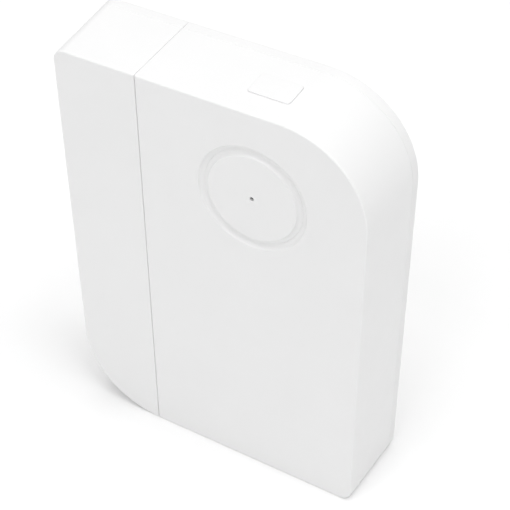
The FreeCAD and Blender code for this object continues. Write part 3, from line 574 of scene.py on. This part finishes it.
def button_lug(angle):
    """L-shaped lug behind the cover that keeps the button's flange in: a stem and its lip."""
    flange = (button_high.x - button_low.x) / 2
    lip_front = FLANGE_BACK + PRESS_TRAVEL + LIP_GAP
    stem_half, lip_half, lip_thick = 1.5, 1.4, 0.5
    stem = eased_block((flange + 0.25, FRONT + FACE_WALL - 0.2, -stem_half),
                       (flange + 1.35, lip_front + lip_thick, stem_half), 0.15, 0.0, 0.12)
    lip = eased_block((flange - 0.4, lip_front, -lip_half),
                      (flange + 0.6, lip_front + lip_thick - 0.01, lip_half), 0.12, 0.05, 0.10)
    lug = combine(to_object("lug", stem), "UNION", to_object("lip", lip))
    turn = Matrix.Rotation(-math.radians(angle), 4, "Y")
    lug.data.transform(Matrix.Translation((BUTTON.x, 0, BUTTON.z)) @ turn)
    return lug


def sensor_cover():
    piece = to_object("sensor_cover_shell", closed_stack(cover_rings(sensor_outline)))
    window = tab_prism("tab_window", TAB_GAP, -3, 2)
    combine(piece, "DIFFERENCE", groove_cutter(), window)
    tamper_low, tamper_high = node_box("tamper_switch_plunger")
    middle = (tamper_low + tamper_high) / 2
    post = to_object("post", turned_solid(
        [(1.1, FRONT + FACE_WALL - 0.2), (1.1, tamper_low.y - 0.17), (0.98, tamper_low.y - 0.05)],
        middle.x, middle.z))
    combine(piece, "UNION", post, *[button_lug(angle) for angle in (30, 150, 270)])
    finish_piece(piece, "sensor_cover", shell, ["sensor_front_cover"])


def magnet_cover():
    piece = to_object("magnet_cover_shell", closed_stack(cover_rings(magnet_outline)))
    finish_piece(piece, "magnet_cover", shell, ["magnet_front_cover"])


# ---------------------------------------------------------------- button and tab


def press_disc():
    """Flush disc with the groove's inner half on its rim, a hollow back, and the pinhole."""
    middle, bend, centre_y, reach, start = groove_profile(BUTTON_GAP / 2)
    rim = [(middle - bend * math.sin(t), centre_y + bend * math.cos(t))
           for t in [reach + (start - reach) * i / 14 for i in range(15)]]
    lip, pipe, pipe_front = 0.05, 0.95, FRONT + 0.9
    profile = [(PINHOLE_RADIUS, pipe_front), (PINHOLE_RADIUS, FRONT + lip),
               (PINHOLE_RADIUS + lip, FRONT), (rim[0][0] - lip, FRONT)]
    profile += [(rim[0][0] - lip * 0.3, FRONT + lip * 0.3)] + rim[1:]
    flange = (button_high.x - button_low.x) / 2
    socket_back = FLANGE_BACK + 1.2
    profile += [(middle - BUTTON_GAP / 2, FLANGE_FRONT), (flange, FLANGE_FRONT),
                (flange, FLANGE_BACK), (HOLLOW_RADIUS, FLANGE_BACK),
                (HOLLOW_RADIUS, FRONT + DISC_THICK), (SOCKET_RADIUS, FRONT + DISC_THICK),
                (SOCKET_RADIUS, socket_back), (pipe, socket_back), (pipe, pipe_front)]
    piece = to_object("press_disc", turned_ring(profile, BUTTON.x, BUTTON.z, 160))
    nose = to_object("nose", rod_y(BUTTON.x, BUTTON.z - NOSE_DROP, NOSE_RADIUS, FRONT + 1.1,
                                   button_high.y))
    combine(piece, "UNION", nose)
    finish_piece(piece, "push_button", button_white, ["push_button"])


def press_tab():
    piece = tab_prism("press_tab", 0.0, -2.2, TAB_PROUD, 0.12)
    flange = tab_prism("tab_flange", 0.7, -2.4, -(WALL + 0.05))
    arm = to_object("tab_arm", closed_stack([
        [(x, y, z) for x, z in rounded_box(BUTTON.x - 1.6, BUTTON.x + 1.6, tab_low.z,
                                           tab_low.z + 1.6, [0.3] * 4, (3, 3, 3, 3))]
        for y in (0.0, tab_high.y)]))
    combine(piece, "UNION", flange, arm)
    finish_piece(piece, "release_tab", shell, ["release_tab"])


# ---------------------------------------------------------------- the two bases


def base_plate(name, outline_of, body, node, recess, holes, posts, extra=()):
    """A rear plate with its rim, posts, tape recess, and holes from the wall's side."""
    piece = to_object(name, slab(outline_of, SPLIT, BACK, SPLIT_EASE, 0.3))
    rim_front, lead = SPLIT - RIM_TALL, 0.2
    outer = to_object("rim_outer", closed_stack([
        at_depth(outline_of(rim_front, WALL + RIM_CLEAR + inset), y)
        for inset, y in ((lead, rim_front), (0, rim_front + lead), (0, SPLIT + SUNK))]))
    inner = to_object("rim_inner", closed_stack([
        at_depth(outline_of(rim_front, WALL + RIM_CLEAR + RIM_THICK), y)
        for y in (rim_front - 1, SPLIT + 0.02)]))
    combine(outer, "DIFFERENCE", inner)
    posts = [to_object("post", rod_y(x, z, radius, front, SPLIT + SUNK, 0.15))
             for x, z, radius, front in posts]
    combine(piece, "UNION", outer, *posts, *extra)
    left, right, low, high = recess
    cuts = [to_object("recess", closed_stack([
        at_depth(rounded_box(left, right, low, high, [1] * 4, (6, 6, 6, 6)), y)
        for y in (BACK - PAD_DEEP, BACK + 1)]))]
    mouth = WALL_HOLE + 0.2
    for x, z in holes:
        profile = [(WALL_HOLE, SPLIT - 3), (WALL_HOLE, BACK - 0.15), (mouth, BACK + 0.05),
                   (mouth, BACK + 1)]
        cuts.append(to_object("hole", closed_stack(revolve_y(profile, (x, z), 64))))
    combine(piece, "DIFFERENCE", *cuts)
    finish_piece(piece, body, rear_shell, [node])


def sensor_base():
    shelf = board_high.y
    posts = [(x, z, BOSS_RADIUS, shelf) for x, z in BOARD_SCREWS]
    posts += [(x, z, SHELF_RADIUS, shelf) for x, z in BOARD_PEGS]
    posts += [(x, z, PEG_RADIUS, shelf - PEG_TALL) for x, z in BOARD_PEGS]
    base_plate("sensor_base_plate", sensor_outline, "sensor_base", "sensor_rear_base",
               SENSOR_RECESS, SENSOR_HOLES, posts)


def magnet_base():
    low, high = node_box("bar_magnet")
    clear, rib, lead = 0.05, 0.9, 0.15
    cradle_front = magnet_low.y

    def walls(grow, corner):
        return rounded_box(low.x - grow, high.x + grow, low.z - grow, high.z + grow,
                           [corner] * 4, (4, 4, 4, 4))

    grow = clear + rib
    cradle = to_object("cradle", closed_stack([
        at_depth(walls(*shape), y) for shape, y in (
            ((grow - lead, 0.4), cradle_front), ((grow, 0.5), cradle_front + lead),
            ((grow, 0.5), SPLIT + SUNK))]))
    nest = to_object("nest", closed_stack([
        at_depth(walls(clear, 0.05), y) for y in (cradle_front - 1, high.y)]))
    combine(cradle, "DIFFERENCE", nest)
    base_plate("magnet_base_plate", magnet_outline, "magnet_base", "magnet_rear_base",
               MAGNET_RECESS, MAGNET_HOLES, [], [cradle])


sensor_cover()
magnet_cover()
press_disc()
press_tab()
sensor_base()
magnet_base()

# ---------------------------------------------------------------- circuit board

BOARD_CORNERS = (1.5, 9.0, 1.0, 1.0)
TRACE_WIDE, TRACE_TALL = 0.32, 0.03
TRACES = (
    ((-7.9, 51.5), (-7.9, 49.2), (-5.2, 46.5)),
    ((-7.9, 32.5), (-7.9, 35.2), (-4.8, 38.3)),
    ((-4.6, 52.9), (-4.6, 50.9), (-2.2, 48.5), (-2.2, 47.0)),
    ((-0.6, 49.8), (-0.6, 47.0)),
    ((1.6, 49.8), (1.6, 47.0)),
    ((4.5, 52.0), (2.8, 52.0), (1.6, 50.8)),
    ((4.5, 49.2), (3.6, 48.3), (3.6, 47.0)),
    ((5.2, 44.0), (8.2, 44.0)),
    ((5.2, 41.2), (7.4, 41.2), (9.0, 42.8)),
    ((5.2, 39.8), (11.2, 39.8), (12.8, 38.2)),
    ((5.2, 46.0), (11.9, 46.0), (13.7, 47.8), (13.7, 58.6), (12.7, 59.6)),
    ((7.3, 53.8), (7.3, 55.2)),
    ((16.9, 49.6), (16.9, 54.0), (15.3, 55.6), (8.2, 55.6)),
    ((18.9, 49.2), (18.9, 43.0)),
    ((20.0, 49.4), (22.2, 47.2), (22.2, 27.2), (21.2, 26.2), (21.2, 24.4)),
    ((17.4, 37.8), (17.4, 35.4)),
    ((15.1, 37.8), (15.1, 35.0)),
    ((2.4, 38.4), (2.4, 37.4), (0.8, 35.8), (-3.6, 35.8)),
    ((-9.0, 40.0), (-9.0, 16.0)),
)
VIAS = ((3.6, 36.6), (12.2, 42.0), (15.3, 45.6), (19.6, 54.6), (-9.0, 16.0), (-9.0, 40.0),
        (10.6, 57.6), (0.6, 53.6), (-3.6, 35.8), (15.1, 35.0), (17.4, 35.4), (18.9, 43.0))


def reed_feet():
    """Where the reed's two leads go through the board, as (x, z)."""
    low, high = node_box("reed_leads")
    radius = (high.x - low.x) / 2
    wire = 0.28
    middle = low.x + radius
    return ((middle, low.z + wire), (middle, high.z - wire))


def screw_places():
    return [middle_of(low, high) for low, high in solid_boxes("board_screws")]


def circuit_board():
    def outline_of(_, inset):
        return rounded_box(board_low.x + inset, board_high.x - inset, board_low.z + inset,
                           board_high.z - inset, [c - inset for c in BOARD_CORNERS],
                           (6, 20, 6, 6))

    piece = to_object("board_panel", slab(outline_of, board_low.y, board_high.y, 0.08, 0.08, 3))
    holes = [(x, z, 1.15) for x, z in screw_places()] + [(x, z, 0.98) for x, z in BOARD_PEGS]
    holes += [(x, z, 0.35) for x, z in reed_feet()]
    combine(piece, "DIFFERENCE", *[
        to_object("hole", rod_y(x, z, radius, board_low.y - 1, board_high.y + 1))
        for x, z, radius in holes])
    finish_piece(piece, "sensor_base", board_green, ["circuit_board"])


def board_traces():
    """Copper tracks under the lacquer, which stand a little above the board."""
    pairs = [pair for route in TRACES for pair in zip(route, route[1:])]
    strips = [track(start, end, TRACE_WIDE, board_low.y - TRACE_TALL - 0.002 * (i % 11),
                    board_low.y + 0.02) for i, (start, end) in enumerate(pairs)]
    finish_piece(gather("board_traces", strips), "sensor_base", trace_green)


def flat_ring(x, z, inner, outer, tall):
    """A bare copper ring, tinned, round a hole in the board's front."""
    front = board_low.y - tall
    return turned_ring([(inner, board_low.y + 0.02), (inner, front), (outer - tall, front),
                        (outer, board_low.y), (outer, board_low.y + 0.02)], x, z, 40)


def solder_cone(x, z, wire, foot, face, way):
    """Solder that climbs a lead from the board's face; way is -1 in front and 1 behind."""
    rise = 0.55
    profile = [(wire, face - way * 0.02), (foot, face - way * 0.02), (foot, face + way * 0.04)]
    for i in range(1, 7):
        share = i / 6
        profile.append((foot + (wire + 0.04 - foot) * math.sin(share * math.pi / 2),
                        face + way * (0.04 + rise * share * share)))
    profile.append((wire, face + way * (0.05 + rise)))
    return turned_ring(profile, x, z, 32)


def board_solder():
    """Rings round the holes, via rings, the leads' solder and the feet of the small parts."""
    made = [flat_ring(x, z, 1.2, 2.3, 0.03) for x, z in screw_places()]
    made += [flat_ring(x, z, 0.13, 0.33, 0.035) for x, z in VIAS]
    made += [solder_cone(x, z, 0.285, 0.85, face, way) for x, z in reed_feet()
             for face, way in ((board_low.y, -1), (board_high.y, 1))]
    switches = (("button_switch_case", 2.0, 0.8), ("tamper_switch_case", 1.3, 0.6))
    for node, spread_z, wide in switches:
        low, high = node_box(node)
        middle = (low.z + high.z) / 2
        for side, z in ((a, middle + b * spread_z) for a in (low.x, high.x) for b in (-1, 1)):
            out = -1 if side == low.x else 1
            for reach, tall, half, corner, ease in ((0.75, 0.22, wide / 2, 0.1, 0.08),
                                                    (1.05, 0.05, wide / 2 + 0.15, 0.15, 0.03)):
                left, right = sorted((side - out * 0.1, side + out * reach))
                made.append(eased_block((left, board_low.y - tall, z - half),
                                        (right, board_low.y + 0.02, z + half), corner, ease))
    for low, high in solid_boxes("chip_parts"):
        made.append(eased_block((low.x - 0.35, board_low.y - 0.04, low.z - 0.06),
                                (high.x + 0.35, board_low.y + 0.02, high.z + 0.06), 0.1, 0.03))
    finish_piece(gather("board_solder", made), "sensor_base", tinned)


def chip_parts():
    """Small chip parts: a ceramic body between two tinned ends."""
    bodies, ends = [], []
    cap, lap = 0.32, 0.03
    for low, high in solid_boxes("chip_parts"):
        bodies.append(eased_block((low.x + cap, low.y + lap, low.z + lap),
                                  (high.x - cap, high.y, high.z - lap), 0.04, 0.05))
        for left, right in ((low.x, low.x + cap + lap), (high.x - cap - lap, high.x)):
            ends.append(eased_block((left, low.y, low.z), (right, high.y, high.z), 0.08, 0.07))
    finish_piece(gather("chip_bodies", bodies), "sensor_base", ceramic,
                 ["chip_parts"])
    finish_piece(gather("chip_ends", ends), "sensor_base", tinned)


def cross_arm(x, z, front, upright):
    """One tapered arm of a cross recess, cut from above the head."""
    rings = []
    for long, wide, y in ((1.2, 0.25, front - 0.3), (0.75, 0.17, front + 0.7)):
        a, b = (wide, long) if upright else (long, wide)
        outline = rounded_box(x - a, x + a, z - b, z + b, [0.02] * 4, (1, 1, 1, 1))
        rings.append(at_depth(outline, y))
    return to_object("arm", closed_stack(rings))


def board_screws():
    """Pan-head screws with a cross recess and a ridged shank."""
    made = []
    for low, high in solid_boxes("board_screws"):
        x, z = middle_of(low, high)
        radius, shank = (high.x - low.x) / 2, 0.95
        dome = [(max(radius * i / 8, 0.01), low.y + 0.16 * (i / 8) ** 2) for i in range(8)]
        root, crest, pitch = shank - 0.18, shank - 0.02, 0.45
        profile = dome + [(radius * 0.97, low.y + 0.24), (radius, low.y + 0.42),
                          (radius, board_low.y - 0.06), (radius - 0.06, board_low.y - 0.005),
                          (root, board_low.y - 0.005)]
        turn = board_high.y + 0.1
        while turn < high.y - 0.6:
            profile += [(root, turn), (crest, turn + 0.2), (root, turn + 0.4)]
            turn += pitch
        profile.append((0.3, high.y))
        head = to_object("screw", turned_solid(profile, x, z))
        arms = [cross_arm(x, z, low.y, upright) for upright in (False, True)]
        made.append(combine(head, "DIFFERENCE", *arms))
    solids = []
    for screw in made:
        bm = bmesh.new()
        bm.from_mesh(screw.data)
        solids.append(bm)
        bpy.data.objects.remove(screw)
    finish_piece(gather("cross_head_screws", solids), "sensor_base", steel,
                 ["board_screws"])


def reed_glass():
    """Glass tube, drawn in and rounded at both ends, with the blades' room inside."""
    low, high = node_box("reed_glass")
    x, y, radius = (low.x + high.x) / 2, (low.y + high.y) / 2, (high.x - low.x) / 2

    def tube(radius, low_z, high_z, taper, end):
        shape = [(end, 0.0), (radius * 0.72, taper * 0.12), (radius * 0.93, taper * 0.45),
                 (radius, taper)]
        rings = [(r, low_z + d) for r, d in shape] + [(r, high_z - d) for r, d in reversed(shape)]
        turns = [2 * math.pi * i / 40 for i in range(40)]
        return closed_stack([[(x + r * math.cos(t), y + r * math.sin(t), z) for t in turns]
                             for r, z in rings])

    piece = to_object("reed_tube", tube(radius, low.z, high.z, 1.3, 0.34))
    room = to_object("room", tube(radius - 0.3, low.z + 2, high.z - 2, 0.8, 0.2))
    combine(piece, "DIFFERENCE", room)
    finish_piece(piece, "sensor_base", reed_tube, ["reed_glass"])


# ---------------------------------------------------------------- cell, holder and switches


def coin_cell():
    """Drawn steel can with a pressed ring, a rolled edge, and the narrower cap behind."""
    low, high = node_box("coin_cell")
    (x, z), radius = middle_of(low, high), (high.x - low.x) / 2
    front, back = low.y, high.y
    cap = radius - 1.1
    profile = [(0.02, front), (8.6, front), (8.75, front + 0.09), (9.5, front + 0.09),
               (9.65, front), (radius - 0.55, front), (radius - 0.22, front + 0.10),
               (radius - 0.06, front + 0.28), (radius, front + 0.6), (radius, back - 0.85),
               (radius - 0.08, back - 0.65), (radius - 0.35, back - 0.52),
               (cap + 0.22, back - 0.5), (cap, back - 0.46), (cap, back - 0.16),
               (cap - 0.05, back - 0.05), (cap - 0.16, back), (0.02, back)]
    finish_piece(to_object("cell_can", turned_solid(profile, x, z, 128)), "coin_cell",
                 cell_steel, ["coin_cell"], 24)
    gasket = [(cap + 0.01, back - 0.52), (cap + 0.26, back - 0.52), (cap + 0.24, back - 0.44),
              (cap + 0.01, back - 0.40)]
    finish_piece(to_object("cell_gasket", turned_ring(gasket, x, z, 96)), "coin_cell",
                 black_plastic)


def battery_holder():
    low, high = node_box("battery_holder")
    cell_low, cell_high = node_box("coin_cell")
    x, z = CELL_CENTRE
    outer, inner, window = (high.z - low.z) / 2, (cell_high.x - cell_low.x) / 2 + 0.15, 7.0
    front, floor, back = low.y, high.y - 0.5, high.y
    ease = 0.22
    profile = [(window + 0.1, back), (outer, back), (outer, front + ease),
               (outer - 0.06, front + 0.06), (outer - ease, front), (inner + ease, front),
               (inner + 0.06, front + 0.06), (inner, front + ease), (inner, floor),
               (window + 0.1, floor), (window, floor + 0.1), (window, back - 0.02)]
    piece = to_object("battery_cup", turned_ring(profile, x, z, 128))
    notch_half, slot_half, out = 5, 3.2, 20
    notch = to_object("notch", eased_block((x - notch_half, front - 1, z),
                                           (x + notch_half, floor - 1, z + out), 0.3, 0.0, 0.5))
    slot = to_object("slot", eased_block((x, front - 1, z - slot_half),
                                         (x + out, back + 1, z + slot_half), 0.3, 0.0))
    combine(piece, "DIFFERENCE", notch, slot)
    finish_piece(piece, "sensor_base", holder_plastic, ["battery_holder"])


def switch_body(node, name, well, plate_thick, corner):
    """Push switch: moulded base with a well, a riveted steel plate on its front."""
    low, high = node_box(node)
    x, z = middle_of(low, high)
    base = to_object(name, eased_block((low.x, low.y + plate_thick, low.z), high, corner, 0.06))
    plate = to_object(f"{name}_plate", eased_block(
        low, (high.x, low.y + plate_thick - 0.01, high.z), corner + 0.1, 0.07))
    for thing in (base, plate):
        combine(thing, "DIFFERENCE", to_object("well", rod_y(x, z, well, low.y - 1, low.y + 1.5)))
    half = (high.x - low.x) / 2
    rivet = half * 0.13
    domes = []
    for a, b in ((-1, -1), (-1, 1), (1, -1), (1, 1)):
        rise = [(rivet * math.cos(t), low.y + 0.02 - 0.09 * math.sin(t))
                for t in [math.pi / 2 * i / 5 for i in range(6)]]
        domes.append(turned_solid([(max(r, 0.01), y) for r, y in rise],
                                  x + a * half * 0.74, z + b * half * 0.74, 20))
    finish_piece(base, "sensor_base", black_plastic, [node])
    finish_piece(plate, "sensor_base", steel)
    finish_piece(gather(f"{name}_rivets", domes), "sensor_base", black_plastic)


def plunger(node, name, body, material):
    low, high = node_box(node)
    (x, z), radius = middle_of(low, high), (high.x - low.x) / 2
    ease = radius * 0.16
    edge = [(radius - i, low.y + d) for i, d in round_steps(ease, 4)]
    profile = [(radius * 0.5, low.y)] + edge + [(radius, high.y)]
    finish_piece(to_object(name, turned_solid(profile, x, z)), body, material, [node])


def status_led():
    low, high = node_box("status_led")
    inner = 0.4
    base = eased_block((low.x, high.y - 0.33, low.z), high, 0.1, 0.05)
    lens = eased_block((low.x + inner, low.y, low.z + 0.05), (high.x - inner, high.y - 0.3,
                                                              high.z - 0.05), 0.25, 0.2)
    finish_piece(gather("led_body", [base, lens]), "sensor_base", lens_cream,
                 ["status_led"])


def radio_shield():
    """Drawn tin can over the radio chip, open behind, with two rows of vent holes."""
    low, high = node_box("radio_shield")
    wall = 0.25
    piece = to_object("shield_can", eased_block(low, high, 0.8, 0.3, 0.0, 5))
    room = to_object("room", eased_block((low.x + wall, low.y + wall, low.z + wall),
                                         (high.x - wall, high.y + 1, high.z - wall), 0.6, 0.1))
    x, z = middle_of(low, high)
    vents = [to_object("vent", rod_y(x + a, z + b, 0.42, low.y - 1, low.y + 0.6, 0.0, 20))
             for a in (-2.6, 0, 2.6) for b in (-2.2, 2.2)]
    combine(piece, "DIFFERENCE", room, *vents)
    finish_piece(piece, "sensor_base", tinned, ["radio_shield"])


def crystal():
    low, high = node_box("crystal")
    step = 0.16
    can = eased_block((low.x + step, low.y, low.z + step), (high.x - step, high.y, high.z - step),
                      0.8, 0.25, 0.0, 5)
    foot = eased_block((low.x, high.y - 0.22, low.z), high, 0.9, 0.06)
    finish_piece(gather("crystal_can", [can, foot]), "sensor_base", steel, ["crystal"])


# ---------------------------------------------------------------- foam and tape


def foam_strip():
    """Pressed foam: its sides belly out between the magnet and the cover."""
    low, high = node_box("magnet_foam_strip")
    rings = []
    for i in range(13):
        share = i / 12
        inset = 0.34 * abs(2 * share - 1) ** 4
        y = low.y + (high.y - low.y) * share
        points = rounded_box(low.x + inset, high.x - inset, low.z + inset, high.z - inset,
                             [0.5] * 4, (5, 5, 5, 5))
        rings.append(at_depth(points, y))
    piece = to_object("foam_strip", closed_stack(rings))
    finish_piece(piece, "magnet_base", foam, ["magnet_foam_strip"], 60)


def tape_pad(node, name, body):
    """Foam tape in its recess, under a release liner that is slit across for peeling."""
    low, high = node_box(node)
    seat, thin = 0.14, 0.16
    tape = to_object(f"{name}_tape", eased_block(
        (low.x + seat, low.y, low.z + seat), (high.x - seat, high.y - thin + 0.01, high.z - seat),
        0.8, 0.0, 0.05))
    sheet = to_object(f"{name}_liner", eased_block((low.x, high.y - thin + 0.015, low.z), high,
                                                   0.9, 0.0, 0.05))
    third = low.z + (high.z - low.z) * 0.34
    slit = to_object("slit", eased_block((low.x - 1, high.y - 0.1, third - 0.06),
                                         (high.x + 1, high.y + 1, third + 0.06), 0.02, 0.0))
    combine(sheet, "DIFFERENCE", slit)
    finish_piece(tape, body, foam, [node])
    finish_piece(sheet, body, liner)


circuit_board()
board_traces()
board_solder()
chip_parts()
board_screws()
reed_glass()
coin_cell()
battery_holder()
switch_body("button_switch_case", "push_switch", 1.75, 0.35, 0.45)
switch_body("tamper_switch_case", "tamper_switch", 0.95, 0.25, 0.3)
plunger("button_switch_plunger", "push_switch_plunger", "button_plunger",
        black_plastic)
plunger("tamper_switch_plunger", "tamper_plunger_pin", "tamper_plunger", holder_plastic)
status_led()
radio_shield()
crystal()
foam_strip()
tape_pad("sensor_adhesive_pad", "sensor_pad", "sensor_base")
tape_pad("magnet_adhesive_pad", "magnet_pad", "magnet_base")

# ---------------------------------------------------------------- carried-over nodes

carried = {
    # The light pipe gets the near-black glass that stands as painted shade in the pinhole.
    "light_pipe": pipe_painted_shade, "bar_magnet": nickel, "reed_leads": tinned,
    "radio_chip": dark_gloss, "aerial": brass,
    "battery_contact_negative": brass, "battery_contact_positive": brass,
}
for node, material in carried.items():
    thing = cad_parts[node]
    thing.data.materials.clear()
    thing.data.materials.append(material)

# ---------------------------------------------------------------- floor, light and camera


def white_floor():
    bm = bmesh.new()
    bmesh.ops.create_grid(bm, x_segments=2, y_segments=2, size=FLOOR_REACH)
    floor = to_object("floor", bm)
    paint = Paint("floor_white")
    tint = paint.mixed(paint.noise(0.05), (0.895, 0.895, 0.895), (0.905, 0.905, 0.905))
    floor.data.materials.append(paint.coat(tint, 0.9, others={"Specular IOR Level": 0.0}))


def soft_box(name, place, power):
    """A square area lamp that faces the object."""
    lamp = bpy.data.lights.new(name, "AREA")
    lamp.shape = "SQUARE"
    lamp.size = LAMP_SIZE
    lamp.energy = power
    holder = bpy.data.objects.new(name, lamp)
    holder.location = place
    aim = Vector(LAMP_AIM) - Vector(place)
    holder.rotation_euler = aim.to_track_quat("-Z", "Y").to_euler()
    bpy.context.scene.collection.objects.link(holder)


FLOOR_REACH = 3.0
WORLD_LEVEL = 0.436
LAMP_AIM, LAMP_SIZE = (0, 0, 0.03), 0.9
LAMPS = (("overhead", (0, 0, 1.2), 6.66), ("right", (0.7, -0.1, 1.0), 4.47),
         ("front", (-0.2, -0.9, 0.9), 4.59))     # name, place in metres, watts


def studio():
    world = bpy.data.worlds.new("studio")
    world.use_nodes = True
    background = world.node_tree.nodes["Background"]
    background.inputs["Color"].default_value = (1, 1, 1, 1)
    background.inputs["Strength"].default_value = WORLD_LEVEL
    bpy.context.scene.world = world
    for name, place, power in LAMPS:
        soft_box(name, place, power)
    bpy.context.scene.view_settings.view_transform = "Standard"


CAMERA_YAW, CAMERA_PITCH, CAMERA_ROLL = -0.52822, 0.72599, -0.00461
CAMERA_PLACE = Vector((0.082314, -0.134936, 0.176726))
CAMERA_LENS = 97.0


def camera():
    """A camera turned by yaw about Z, pitched down, and rolled a little."""
    forward = Vector((math.sin(CAMERA_YAW) * math.cos(CAMERA_PITCH),
                      math.cos(CAMERA_YAW) * math.cos(CAMERA_PITCH), -math.sin(CAMERA_PITCH)))
    right = forward.cross(Vector((0, 0, 1))).normalized()
    up = right.cross(forward)
    turned_right = math.cos(CAMERA_ROLL) * right + math.sin(CAMERA_ROLL) * up
    turned_up = -math.sin(CAMERA_ROLL) * right + math.cos(CAMERA_ROLL) * up
    lens = bpy.data.cameras.new("camera")
    lens.sensor_width = 36
    lens.lens = CAMERA_LENS
    lens.clip_start = 0.005
    holder = bpy.data.objects.new("camera", lens)
    turn = Matrix((turned_right, turned_up, -forward)).transposed()
    holder.matrix_world = Matrix.Translation(CAMERA_PLACE) @ turn.to_4x4()
    bpy.context.scene.collection.objects.link(holder)
    bpy.context.scene.camera = holder


white_floor()
studio()
camera()
